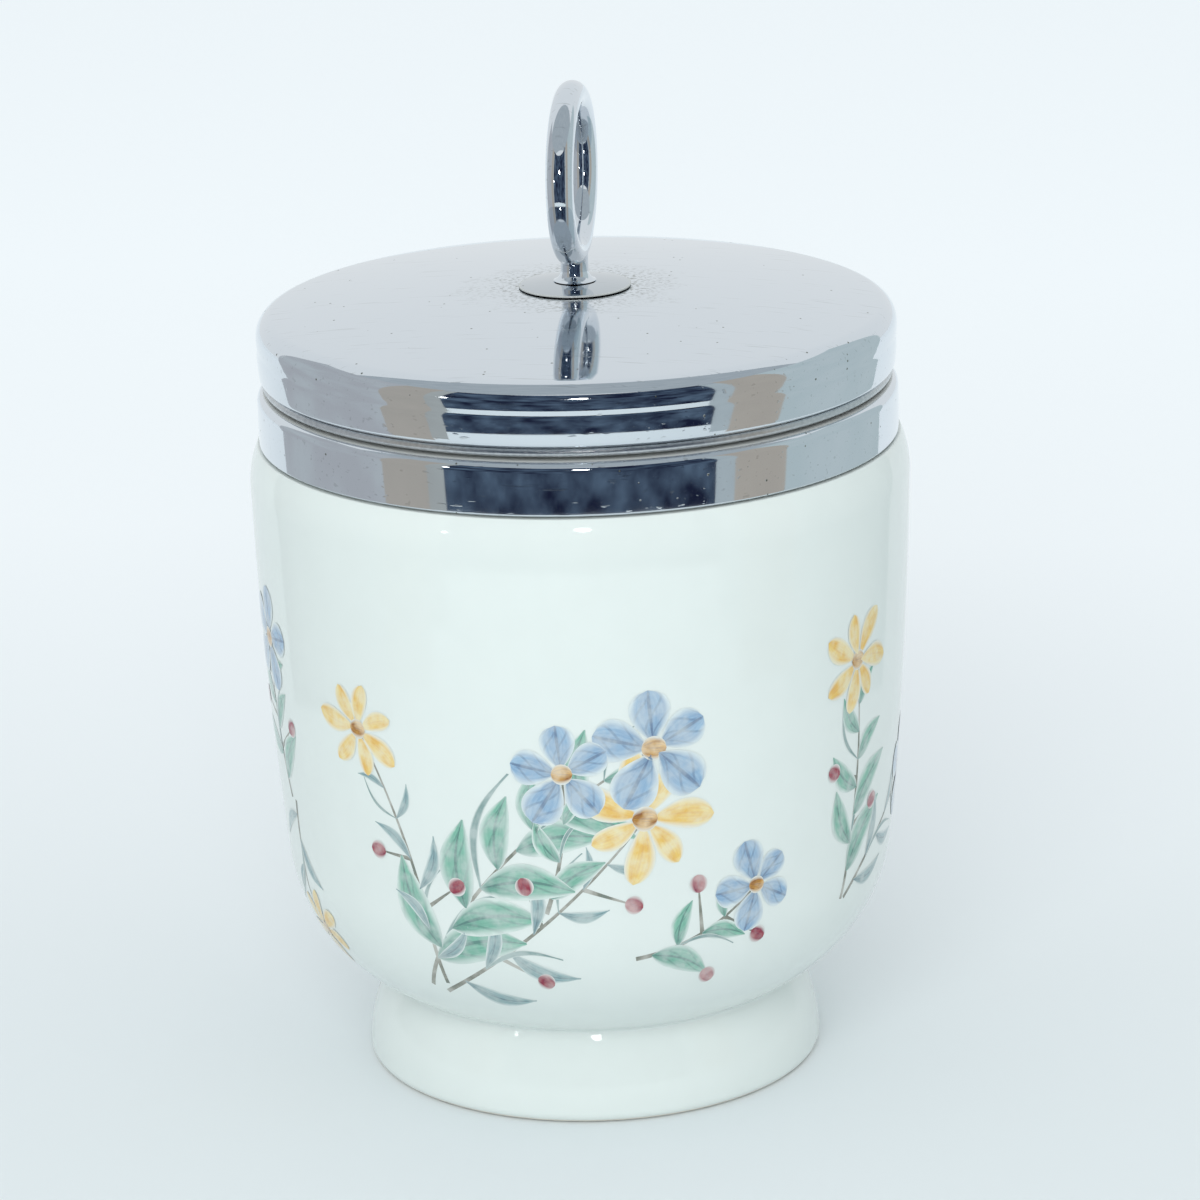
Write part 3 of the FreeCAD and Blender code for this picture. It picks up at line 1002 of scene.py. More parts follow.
PAINTS = {
    TouchKind.STEM: UnderglazePaint("brown_stem_paint", "#7d6a55", "#5d6a60", even=True),
    TouchKind.BLADE: UnderglazePaint("grey_green_paint", "#5c7f80", "#7f9a97", cover=0.95),
    TouchKind.SLIM_LEAF: UnderglazePaint("slate_leaf_paint", "#4f7f83", "#86a6ab", "#3b5f6a"),
    TouchKind.BROAD_LEAF: UnderglazePaint("teal_leaf_paint", "#2f8a74", "#74b39c", "#1f5f5c"),
    TouchKind.BERRY: UnderglazePaint("red_berry_paint", "#a5363d", "#7a2b46", cover=1.0),
    TouchKind.YELLOW_PETAL: UnderglazePaint("yellow_petal_paint", "#e9cb58", "#d9a63f"),
    TouchKind.BLUE_PETAL: UnderglazePaint("blue_petal_paint", "#4f7fae", "#8fb1cc", "#34567f"),
    TouchKind.EYE: UnderglazePaint("ochre_eye_paint", "#d9a63f", "#8a5a30", cover=1.0),
}

TOUCH_SHAPES = {
    TouchKind.BROAD_LEAF: TouchShape(0.40, 0.95, 0.85, 0.10),
    TouchKind.SLIM_LEAF: TouchShape(0.24, 1.1, 0.9, -0.12),
    TouchKind.BLADE: TouchShape(0.07, 1.0, 0.8, 0.16),
    TouchKind.BLUE_PETAL: TouchShape(0.80, 0.55, 1.5, 0.0),
    TouchKind.YELLOW_PETAL: TouchShape(0.50, 0.6, 1.4, 0.05),
    TouchKind.BERRY: TouchShape(1.0, 0.5, 1.0, 0.0),
    TouchKind.EYE: TouchShape(1.0, 0.5, 1.0, 0.0),
}

# Millimetres above the glaze at which each kind lies, so that what is painted later covers the rest
LIFTS = {
    TouchKind.STEM: 0.009,
    TouchKind.BLADE: 0.011,
    TouchKind.SLIM_LEAF: 0.012,
    TouchKind.BROAD_LEAF: 0.013,
    TouchKind.BERRY: 0.028,
    TouchKind.YELLOW_PETAL: 0.029,
    TouchKind.BLUE_PETAL: 0.031,
    TouchKind.EYE: 0.040,
}


@dataclass
class Decoration:
    """Loose sprigs round the pot, painted as thin touches that follow its surface."""

    pot: Pot
    front_turn: float
    seed: int = 11
    outline_step: float = 0.25
    stem_steps: int = 26
    stem_width: float = 0.42
    stem_spacing: float = 0.5
    stem_tip: float = 0.4
    first_leaf: int = 3
    leaf_margin: int = 5
    leaf_shrink: float = 0.45
    blade_lean: float = 25.0
    blade_share: float = 1.3
    first_berry: int = 8
    berry_spacing: int = 5
    berry_size: float = 1.7
    petal_start: float = 0.12
    eye_share: float = 0.42
    touch_steps: int = 20
    touch_rows: int = 8
    least_width: float = 0.012
    layer_lift: float = 0.003
    layers: int = 5
    touches: dict[TouchKind, list[Touch]] = field(init=False)
    stems: list[list[tuple[float, float]]] = field(init=False, default_factory=list)
    outline: list[tuple[float, float]] = field(init=False)
    draws: random.Random = field(init=False)

    def __post_init__(self) -> None:
        """Sample the pot's outline and start with no touches."""
        count = int((self.pot.ledge_height - 8) / self.outline_step)
        heights = [self.pot.waist_height + self.outline_step * step for step in range(count)]
        self.outline = [(height, self.pot.surface_radius(height)) for height in heights]
        self.draws = random.Random(self.seed)
        self.touches = {kind: [] for kind in TOUCH_SHAPES}

    def sprigs(self) -> list[Sprig]:
        """List the stems, from the front of the pot round to its back.

        Returns:
            The sprigs.
        """
        broad, slim = TouchKind.BROAD_LEAF, TouchKind.SLIM_LEAF
        blue, yellow = Blossom.BLUE, Blossom.YELLOW
        front = [
            Sprig(-17.0, 13.5, 62.0, 33.0, -34.0, 11, 9.5, broad, blue, 5.2),
            Sprig(-15.5, 13.0, 30.0, 27.0, 22.0, 7, 7.0, slim, yellow, 5.4, 3),
            Sprig(-15.0, 14.0, 92.0, 24.0, 30.0, 6, 6.0, slim, yellow, 4.2, 2),
            Sprig(-4.0, 22.0, 70.0, 13.0, 25.0, 3, 5.5, broad, blue, 4.4),
            Sprig(4.0, 17.5, 8.0, 13.0, 35.0, 4, 5.5, broad, blue, 3.8, 3),
        ]
        edges = [
            Sprig(27.0, 18.5, 78.0, 22.0, 22.0, 7, 7.5, broad, yellow, 4.4, 2),
            Sprig(27.5, 18.5, 40.0, 17.0, -26.0, 5, 6.0, slim, blue, 4.2),
            Sprig(-35.0, 27.0, 112.0, 14.5, -30.0, 5, 6.0, broad, blue, 4.4, 2),
            Sprig(-34.0, 27.0, 262.0, 12.0, 28.0, 4, 5.5, slim, yellow, 3.6),
        ]
        back = [
            Sprig(62.0, 13.5, 100.0, 27.0, 32.0, 10, 9.0, broad, yellow, 5.2, 3),
            Sprig(63.0, 14.0, 60.0, 27.0, -24.0, 7, 7.0, slim, blue, 5.0),
            Sprig(61.0, 15.0, 140.0, 22.0, -30.0, 6, 6.5, slim, blue, 4.4, 2),
            Sprig(-68.0, 34.0, 300.0, 22.0, 30.0, 7, 7.5, broad, blue, 5.0, 3),
            Sprig(-68.0, 32.0, 70.0, 10.0, 20.0, 4, 5.5, slim, yellow, 3.8),
        ]
        return front + edges + back

    def grow(self, sprig: Sprig) -> None:
        """Set out one sprig's touches along its stem.

        Args:
            sprig: The sprig.
        """
        path = self.stem_path(sprig)
        self.stems.append([(across, height) for across, height, _ in path])
        for number in range(sprig.leaves):
            spot = path[self.first_leaf + int((self.stem_steps - self.leaf_margin) * number / sprig.leaves)]
            side = 1 if number % 2 else -1
            turn = spot[2] + side * self.draws.uniform(32, 58)
            shrunk = sprig.leaf_size * (1 - self.leaf_shrink * number / sprig.leaves)
            size = shrunk * self.draws.uniform(0.8, 1.15)
            self.touches[sprig.leaf_kind].append(Touch(spot[0], spot[1], turn, size))
            if number % 3 == 1:
                lean = spot[2] - side * self.blade_lean
                self.touches[TouchKind.BLADE].append(Touch(spot[0], spot[1], lean, size * self.blade_share))
        for number in range(sprig.berries):
            spot = path[self.first_berry + self.berry_spacing * number]
            turn = math.radians(spot[2] + (70 if number % 2 else -65))
            reach = self.draws.uniform(2.6, 4.0)
            tip = (spot[0] + reach * math.cos(turn), spot[1] + reach * math.sin(turn))
            self.stems.append([spot[:2], tip])
            self.touches[TouchKind.BERRY].append(Touch(tip[0], tip[1], math.degrees(turn), self.berry_size))
        self.open_blossom(path[-1], sprig.blossom, sprig.blossom_size)

    def stem_path(self, sprig: Sprig) -> list[tuple[float, float, float]]:
        """Follow a sprig's stem from its root to its tip.

        Args:
            sprig: The sprig.

        Returns:
            Across, height and heading in degrees of each step.
        """
        across, height = sprig.across, sprig.height
        step = sprig.length / self.stem_steps
        path = []
        for number in range(self.stem_steps + 1):
            part = number / self.stem_steps
            heading = math.radians(sprig.heading + sprig.bend * part)
            path.append((across, height, math.degrees(heading)))
            across += step * math.cos(heading)
            height += step * math.sin(heading)
        return path

    def open_blossom(self, tip: tuple[float, float, float], blossom: Blossom, size: float) -> None:
        """Set out a blossom's petals and its eye.

        Args:
            tip: Across, height and heading of the stem's end.
            blossom: Which blossom.
            size: Length of a petal.
        """
        for number in range(blossom.value):
            turn = tip[2] + 360 * number / blossom.value + self.draws.uniform(-7, 7)
            away = math.radians(turn)
            reach = size * self.petal_start
            length = size * self.draws.uniform(0.82, 1.05)
            across, height = tip[0] + reach * math.cos(away), tip[1] + reach * math.sin(away)
            self.touches[blossom.petal].append(Touch(across, height, turn, length))
        width = size * self.eye_share
        self.touches[TouchKind.EYE].append(Touch(tip[0] - width / 2, tip[1], 0.0, width))

    def touch_mesh(self, kind: TouchKind) -> bpy.types.Mesh:
        """Make one touch lying along X, one unit long, with its length and width as UV.

        Args:
            kind: Which touch.

        Returns:
            The flat mesh.
        """
        outline = TOUCH_SHAPES[kind]
        shape = bmesh.new()
        layer = shape.loops.layers.uv.new("UVMap")
        rows = []
        for number in range(self.touch_steps + 1):
            part = number / self.touch_steps
            swell = part ** outline.skew
            half = max(outline.width / 2 * (4 * swell * (1 - swell)) ** outline.blunt, self.least_width)
            middle = outline.bow * math.sin(math.pi * part)
            row = []
            for cross in range(self.touch_rows + 1):
                side = middle + half * (2 * cross / self.touch_rows - 1)
                row.append((shape.verts.new((part, side, 0)), (part, cross / self.touch_rows)))
            rows.append(row)
        for near, far in zip(rows, rows[1:]):
            for left, right, far_right, far_left in zip(near, near[1:], far[1:], far):
                corners = (left, far_left, far_right, right)
                face = shape.faces.new([vertex for vertex, _ in corners])
                for loop, (_, place) in zip(face.loops, corners):
                    loop[layer].uv = place
        return finished_mesh(kind.value, shape)

    def scatter(self, kind: TouchKind, paint: bpy.types.Material) -> bpy.types.Object:
        """Paint every touch of one kind.

        Args:
            kind: Which touch.
            paint: Its colour.

        Returns:
            The touches, still lying flat.
        """
        touches = self.touches[kind]
        points = bpy.data.meshes.new(kind.value)
        points.from_pydata([(touch.across, touch.height, self.layer_lift * (number % self.layers))
                            for number, touch in enumerate(touches)], [], [])
        for label, values in (("turn", [math.radians(touch.turn) for touch in touches]),
                              ("size", [touch.size for touch in touches])):
            points.attributes.new(label, "FLOAT", "POINT").data.foreach_set("value", values)
        model = new_object(kind.value + "_model", self.touch_mesh(kind))
        recipe = NodeRecipe(kind.value + "_nodes", {"Touch": ("NodeSocketObject", model),
                                                    "Paint": ("NodeSocketMaterial", paint)})
        tree = recipe.tree
        model_node = add_node(tree, "GeometryNodeObjectInfo", {"Object": recipe.given("Touch")})
        turn = add_node(tree, "GeometryNodeInputNamedAttribute", {"Name": "turn"}, data_type="FLOAT")
        size = add_node(tree, "GeometryNodeInputNamedAttribute", {"Name": "size"}, data_type="FLOAT")
        euler = add_node(tree, "ShaderNodeCombineXYZ", {2: turn.outputs["Attribute"]})
        spin = add_node(tree, "FunctionNodeEulerToRotation", {0: euler.outputs[0]})
        placed = add_node(tree, "GeometryNodeInstanceOnPoints", {
            "Points": recipe.given("Geometry"), "Instance": model_node.outputs["Geometry"],
            "Rotation": spin.outputs[0], "Scale": size.outputs["Attribute"]})
        recipe.finish(placed.outputs[0], recipe.given("Paint"))
        piece = new_object("decoration_" + kind.value, points)
        recipe.run(piece)
        bpy.data.objects.remove(model)
        return piece

    def stem_lines(self) -> bpy.types.Mesh:
        """Lay the stems out as lines.

        Returns:
            A mesh of edges only.
        """
        shape = bmesh.new()
        for path in self.stems:
            spots = [shape.verts.new((across, height, 0)) for across, height in path]
            for near, far in zip(spots, spots[1:]):
                shape.edges.new((near, far))
        return finished_mesh("stems", shape)

    def draw_stems(self, paint: bpy.types.Material) -> bpy.types.Object:
        """Paint the stems as ribbons that thin towards their tips.

        Args:
            paint: Their colour.

        Returns:
            The stems, still lying flat.
        """
        recipe = NodeRecipe("stem_nodes", {
            "Width": ("NodeSocketFloat", self.stem_width), "Spacing": ("NodeSocketFloat", self.stem_spacing),
            "Tip": ("NodeSocketFloat", self.stem_tip), "Paint": ("NodeSocketMaterial", paint)})
        tree = recipe.tree
        curves = add_node(tree, "GeometryNodeMeshToCurve", {0: recipe.given("Geometry")})
        even = add_node(tree, "GeometryNodeResampleCurve", {
            "Curve": curves.outputs[0], "Length": recipe.given("Spacing")}, mode="LENGTH")
        upright = add_node(tree, "GeometryNodeSetCurveNormal", {"Curve": even.outputs[0]}, mode="Z_UP")
        along = add_node(tree, "GeometryNodeSplineParameter").outputs["Factor"]
        thinning = add_node(tree, "ShaderNodeMapRange", {
            "Value": along, "To Min": 1.0, "To Max": recipe.given("Tip")}).outputs[0]
        tapered = add_node(tree, "GeometryNodeSetCurveRadius", {
            "Curve": upright.outputs[0], "Radius": thinning})
        half = arithmetic(tree, "MULTIPLY", recipe.given("Width"), 0.5)
        left = add_node(tree, "ShaderNodeCombineXYZ", {0: arithmetic(tree, "MULTIPLY", half, -1.0)})
        right = add_node(tree, "ShaderNodeCombineXYZ", {0: half})
        section = add_node(tree, "GeometryNodeCurvePrimitiveLine", {
            "Start": left.outputs[0], "End": right.outputs[0]})
        ribbon = add_node(tree, "GeometryNodeCurveToMesh", {
            "Curve": tapered.outputs[0], "Profile Curve": section.outputs[0]})
        if "Scale" in ribbon.inputs:
            tree.links.new(thinning, ribbon.inputs["Scale"])
        recipe.finish(ribbon.outputs[0], recipe.given("Paint"))
        piece = new_object("decoration_stem", self.stem_lines())
        recipe.run(piece)
        return piece

    def wrap(self, piece: bpy.types.Object, lift: float) -> None:
        """Lay flat touches round the pot.

        Args:
            piece: The touches, with across and height in millimetres.
            lift: How far above the glaze they lie.
        """
        for vertex in piece.data.vertices:
            across, height, layer = vertex.co
            angle = math.radians(self.front_turn) + across / self.pot.belly_radius
            radius = self.wall_radius(height) + lift + layer
            vertex.co = Vector((math.sin(angle) * radius, -math.cos(angle) * radius, height)) * MM
        shape = bmesh.new()
        shape.from_mesh(piece.data)
        for face in shape.faces:
            middle = face.calc_center_median()
            if face.normal.x * middle.x + face.normal.y * middle.y < 0:
                face.normal_flip()
            face.smooth = True
        shape.to_mesh(piece.data)
        shape.free()

    def wall_radius(self, height: float) -> float:
        """Look the pot's wall up in its sampled outline.

        Args:
            height: Height above the table, in millimetres.

        Returns:
            The outer radius there, in millimetres.
        """
        spot = (height - self.outline[0][0]) / self.outline_step
        index = min(max(int(spot), 0), len(self.outline) - 2)
        low, high = self.outline[index][1], self.outline[index + 1][1]
        return low + (high - low) * (spot - index)

    def build(self) -> None:
        """Grow every sprig, paint each kind of touch and lay it round the pot."""
        for sprig in self.sprigs():
            self.grow(sprig)
        for kind, paint in PAINTS.items():
            material = paint.build()
            piece = self.draw_stems(material) if kind is TouchKind.STEM else self.scatter(kind, material)
            self.wrap(piece, LIFTS[kind])
            dress(piece, material, Body.POT, "porcelain")


@dataclass
class Collar:
    """The pressed metal collar cemented on the pot's neck."""

    band_height: float = 4.6
    sheet: float = 0.7
    neck_outer: float = 25.9
    shoulder: float = 0.9
    hem: float = 0.2

    def build(self, chrome: bpy.types.Material) -> bpy.types.Object:
        """Turn the collar's band, ledge and neck.

        Args:
            chrome: Its plating.

        Returns:
            The collar.
        """
        radius, bottom, top = frame_span("collar")
        ledge = bottom + self.band_height
        neck_inner = self.neck_outer - self.sheet
        piece = turned("collar_band", [
            Corner(radius, bottom, self.hem),
            Corner(radius, ledge, self.shoulder),
            Corner(self.neck_outer, ledge),
            Corner(self.neck_outer, top, self.hem),
            Corner(neck_inner, top),
            Corner(neck_inner, ledge - self.sheet),
            Corner(radius - self.sheet, ledge - self.sheet),
            Corner(radius - self.sheet, bottom),
        ])
        return dress(piece, chrome, Body.POT, "chrome_collar", "collar")


@dataclass
class Lid:
    """The lid's cap and its threaded liner."""

    sheet: float = 0.6
    dome_rise: float = 1.86
    shoulder: float = 1.75
    skirt_draw_in: float = 0.18
    skirt_draw_height: float = 2.3
    skirt_edge: float = 0.4
    waisting: float = 0.06
    liner_fit: float = 0.05
    liner_thickness: float = 0.5
    bead: float = 0.38
    bead_lip: float = 0.08
    stem_hole: float = 1.25
    washer_gap: float = 0.04
    waist_steps: tuple[tuple[float, float], ...] = (
        (0.5, 0.0), (0.75, 0.2), (1.0, 0.4), (0.75, 0.55), (0.25, 0.8), (0.0, 1.0))

    def build_cap(self, chrome: bpy.types.Material) -> bpy.types.Object:
        """Turn the cap: dome, shoulder and drawn-in skirt, with a slight waist in the skirt.

        Args:
            chrome: Its plating.

        Returns:
            The cap.
        """
        radius, bottom, _ = frame_span("lid_cap")
        top = frame_span("ring_washer")[1] - self.washer_gap
        dome = (radius ** 2 + self.dome_rise ** 2) / (2 * self.dome_rise)
        inner = radius - self.sheet
        roof = dome - self.sheet
        roof_corner = top - self.sheet - roof + math.sqrt(roof ** 2 - inner ** 2)
        draw_in = self.skirt_draw_in - self.waist_steps[0][0] * self.waisting
        skirt_curve = (self.skirt_draw_height ** 2 + draw_in ** 2) / (2 * draw_in)
        hole_drop = dome - math.sqrt(dome ** 2 - self.stem_hole ** 2)
        draw = bottom + self.skirt_draw_height
        waist = [Corner(radius - share * self.waisting, draw + rise) for share, rise in self.waist_steps]
        piece = turned("lid_cap_shell", [
            Corner(self.stem_hole, top - self.sheet - hole_drop, 0.0, roof, -1),
            Corner(inner, roof_corner, self.shoulder - self.sheet),
            Corner(inner, bottom),
            Corner(radius - self.skirt_draw_in, bottom, self.skirt_edge, skirt_curve),
            *waist,
            Corner(radius, top - self.dome_rise, self.shoulder, dome),
            Corner(self.stem_hole, top - hole_drop),
        ])
        return dress(piece, chrome, Body.LID, "chrome_lid", "lid_cap")

    def build_liner(self, metal: bpy.types.Material) -> bpy.types.Object:
        """Turn the liner's sleeve with the round bead along its lower edge.

        Args:
            metal: Its material.

        Returns:
            The liner.
        """
        bead_reach, bottom, top = frame_span("lid_liner")
        outer = frame_span("lid_cap")[0] - self.sheet - self.liner_fit
        inner = outer - self.liner_thickness
        middle = bottom + self.bead
        centre = bead_reach - self.bead
        drop = math.sqrt(self.bead ** 2 - (outer - centre) ** 2)
        piece = turned("lid_liner_sleeve", [
            Corner(inner, middle + self.bead_lip),
            Corner(centre, bottom, 0.0, self.bead),
            Corner(bead_reach, middle, 0.0, self.bead),
            Corner(outer, middle + drop),
            Corner(outer, top),
            Corner(inner, top),
        ])
        return dress(piece, metal, Body.LID, "liner_metal", "lid_liner")


@dataclass
class Thread:
    """One right-hand ridge of the screw thread, thin where it runs in and out.

    The start angle is in degrees, and the wire is half the ridge's thickness. The collar's ridge and the
    liner's start half a turn apart.
    """

    name: str
    radius: float
    wire: float
    start_turn: float
    body: Body
    slot: str
    pitch: float = 2.5
    turns: float = 1.15
    first_height: float = 62.7
    steps_a_turn: int = 160
    section_steps: int = 16
    run_in: float = 0.08
    thin_end: float = 0.15
    crease: float = 60.0

    def inputs(self, metal: bpy.types.Material) -> dict[str, tuple[str, object]]:
        """List what the ridge's tree is given.

        Args:
            metal: The ridge's material.

        Returns:
            Each input's socket type and value by name.
        """
        return {
            "Turns": ("NodeSocketFloat", self.turns),
            "Radius": ("NodeSocketFloat", self.radius * MM),
            "Rise": ("NodeSocketFloat", self.turns * self.pitch * MM),
            "Start Height": ("NodeSocketFloat", self.first_height * MM),
            "Start Angle": ("NodeSocketFloat", math.radians(self.start_turn)),
            "Ridge Size": ("NodeSocketFloat", self.wire * MM),
            "Material": ("NodeSocketMaterial", metal),
        }

    def taper(self, tree: bpy.types.NodeTree) -> Socket:
        """Thin the ridge at both of its ends.

        Args:
            tree: The ridge's tree.

        Returns:
            The share of the ridge's thickness at each place along it.
        """
        along = add_node(tree, "GeometryNodeSplineParameter").outputs["Factor"]
        opening = add_node(tree, "ShaderNodeMapRange", {
            "Value": along, "From Min": 0.0, "From Max": self.run_in,
            "To Min": self.thin_end, "To Max": 1.0}).outputs[0]
        closing = add_node(tree, "ShaderNodeMapRange", {
            "Value": along, "From Min": 1.0 - self.run_in, "From Max": 1.0,
            "To Min": 1.0, "To Max": self.thin_end}).outputs[0]
        return arithmetic(tree, "MULTIPLY", opening, closing)

    def build(self, metal: bpy.types.Material) -> bpy.types.Object:
        """Wind the ridge.

        Args:
            metal: Its material.

        Returns:
            The ridge.
        """
        recipe = NodeRecipe(self.name + "_nodes", self.inputs(metal))
        tree = recipe.tree
        spiral = add_node(tree, "GeometryNodeCurveSpiral", {
            "Resolution": self.steps_a_turn, "Rotations": recipe.given("Turns"),
            "Start Radius": recipe.given("Radius"), "End Radius": recipe.given("Radius"),
            "Height": recipe.given("Rise"), "Reverse": True})
        offset = add_node(tree, "ShaderNodeCombineXYZ", {2: recipe.given("Start Height")})
        phase = add_node(tree, "ShaderNodeCombineXYZ", {2: recipe.given("Start Angle")})
        spin = add_node(tree, "FunctionNodeEulerToRotation", {0: phase.outputs[0]})
        raised = add_node(tree, "GeometryNodeTransform", {
            "Geometry": spiral.outputs[0], "Translation": offset.outputs[0], "Rotation": spin.outputs[0]})
        taper = self.taper(tree)
        tapered = add_node(tree, "GeometryNodeSetCurveRadius", {"Curve": raised.outputs[0], "Radius": taper})
        section = add_node(tree, "GeometryNodeCurvePrimitiveCircle", {
            "Resolution": self.section_steps, "Radius": recipe.given("Ridge Size")})
        ridge = add_node(tree, "GeometryNodeCurveToMesh", {
            "Curve": tapered.outputs[0], "Profile Curve": section.outputs[0], "Fill Caps": True})
        if "Scale" in ridge.inputs:
            tree.links.new(taper, ridge.inputs["Scale"])
        recipe.finish(ridge.outputs[0], recipe.given("Material"))
        piece = new_object(self.name, bpy.data.meshes.new(self.name))
        recipe.run(piece)
        smooth(piece.data, self.crease)
        return dress(piece, metal, self.body, self.slot)


@dataclass
class Ring:
    """The lifting ring with its stem, and the low domed washer that it stands on."""

    wire: float = 1.19
    neck_length: float = 1.35
    stem: float = 1.2
    flare_step: float = 0.65
    flare_height: float = 0.9
    head_radius: float = 2.2
    head_rise: float = 0.75
    head_edge: float = 0.2
    gap: float = 0.04
    around: int = 96
    section: int = 32
    stem_faces: int = 64
    crease: float = 50.0
    washer_edge: float = 0.12
    washer_round: float = 0.05
    washer_rise: float = 0.45
    washer_hole: float = 1.25
    washer_faces: int = 128

    def build_ring(self, chrome: bpy.types.Material) -> bpy.types.Object:
        """Turn the stem, bend the wire round and join the two in one closed mesh.

        Args:
            chrome: Its plating.

        Returns:
            The ring with its stem.
        """
        low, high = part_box("lifting_ring")
        seat = frame_span("ring_washer")[2] + self.gap
        head_bottom = low[2] / MM
        head_top = head_bottom + self.head_rise
        bulge = self.head_rise - self.head_edge
        head_curve = (self.head_radius ** 2 + bulge ** 2) / (2 * bulge)
        flare_curve = (self.flare_height ** 2 + self.flare_step ** 2) / (2 * self.flare_step)
        wire_low = seat + self.neck_length + self.wire
        mean = (high[2] / MM - self.wire - wire_low) / 2
        stem = turned("lifting_ring_wire", [
            Corner(0.0, head_bottom, 0.0, head_curve),
            Corner(self.head_radius, head_top - self.head_edge),
            Corner(self.head_radius, head_top),
            Corner(self.stem, head_top),
            Corner(self.stem, seat),
            Corner(self.stem + self.flare_step, seat, 0.0, flare_curve, -1),
            Corner(self.stem, seat + self.flare_height),
            Corner(self.stem, wire_low),
            Corner(0.0, wire_low),
        ], self.stem_faces)
        hoop = self.hoop(mean, wire_low + mean)
        union = stem.modifiers.new("join", "BOOLEAN")
        union.operation = "UNION"
        union.solver = "EXACT"
        union.object = hoop
        joined = bpy.data.meshes.new_from_object(stem.evaluated_get(bpy.context.evaluated_depsgraph_get()))
        stem.modifiers.remove(union)
        stem.data = joined
        bpy.data.objects.remove(hoop)
        smooth(joined, self.crease)
        return dress(stem, chrome, Body.LID, "chrome_ring", "lifting_ring")

    def hoop(self, mean: float, centre: float) -> bpy.types.Object:
        """Make the bent wire in the YZ plane.

        Args:
            mean: Radius of the wire's centre line, in millimetres.
            centre: Height of the ring's centre.

        Returns:
            The hoop as an object.
        """
        shape = bmesh.new()
        rings = []
        for turn in range(self.around):
            angle = 2 * math.pi * turn / self.around
            outward = Vector((0, math.cos(angle), math.sin(angle)))
            ring = []
            for spot in range(self.section):
                tilt = 2 * math.pi * spot / self.section
                reach = mean + self.wire * math.cos(tilt)
                place = outward * reach + Vector((self.wire * math.sin(tilt), 0, centre))
                ring.append(shape.verts.new(place * MM))
            rings.append(ring)
        for turn, ring in enumerate(rings):
            following = rings[(turn + 1) % self.around]
            for spot in range(self.section):
                after = (spot + 1) % self.section
                shape.faces.new((ring[spot], ring[after], following[after], following[spot]))
        bmesh.ops.recalc_face_normals(shape, faces=shape.faces)
        mesh = finished_mesh("hoop", shape)
        return new_object("hoop", mesh)

    def build_washer(self, chrome: bpy.types.Material) -> bpy.types.Object:
        """Turn the low domed washer under the ring.

        Args:
            chrome: Its plating.

        Returns:
            The washer.
        """
        radius, bottom, _ = frame_span("ring_washer")
        bulge = self.washer_rise - self.washer_edge
        curve = (radius ** 2 + bulge ** 2) / (2 * bulge)
        drop = curve - math.sqrt(curve ** 2 - self.washer_hole ** 2)
        piece = turned("ring_washer_dome", [
            Corner(self.washer_hole, bottom),
            Corner(radius, bottom),
            Corner(radius, bottom + self.washer_edge, self.washer_round, curve),
            Corner(self.washer_hole, bottom + self.washer_rise - drop),
        ], self.washer_faces)
        return dress(piece, chrome, Body.LID, "chrome_ring_washer", "ring_washer")


# Studio

@dataclass(frozen=True)
class Panel:
    """A curved panel round the pot: degrees from the camera's side, millimetres away and high, two tones."""

    name: str
    first: float
    last: float
    distance: float
    top: float
    tone: str
    shade: str


@dataclass(frozen=True)
class LampDisc:
    """A small bright disc: its direction from the pot, its distance and radius in millimetres."""

    name: str
    azimuth: float
    elevation: float
    distance: float
    radius: float
    strength: float


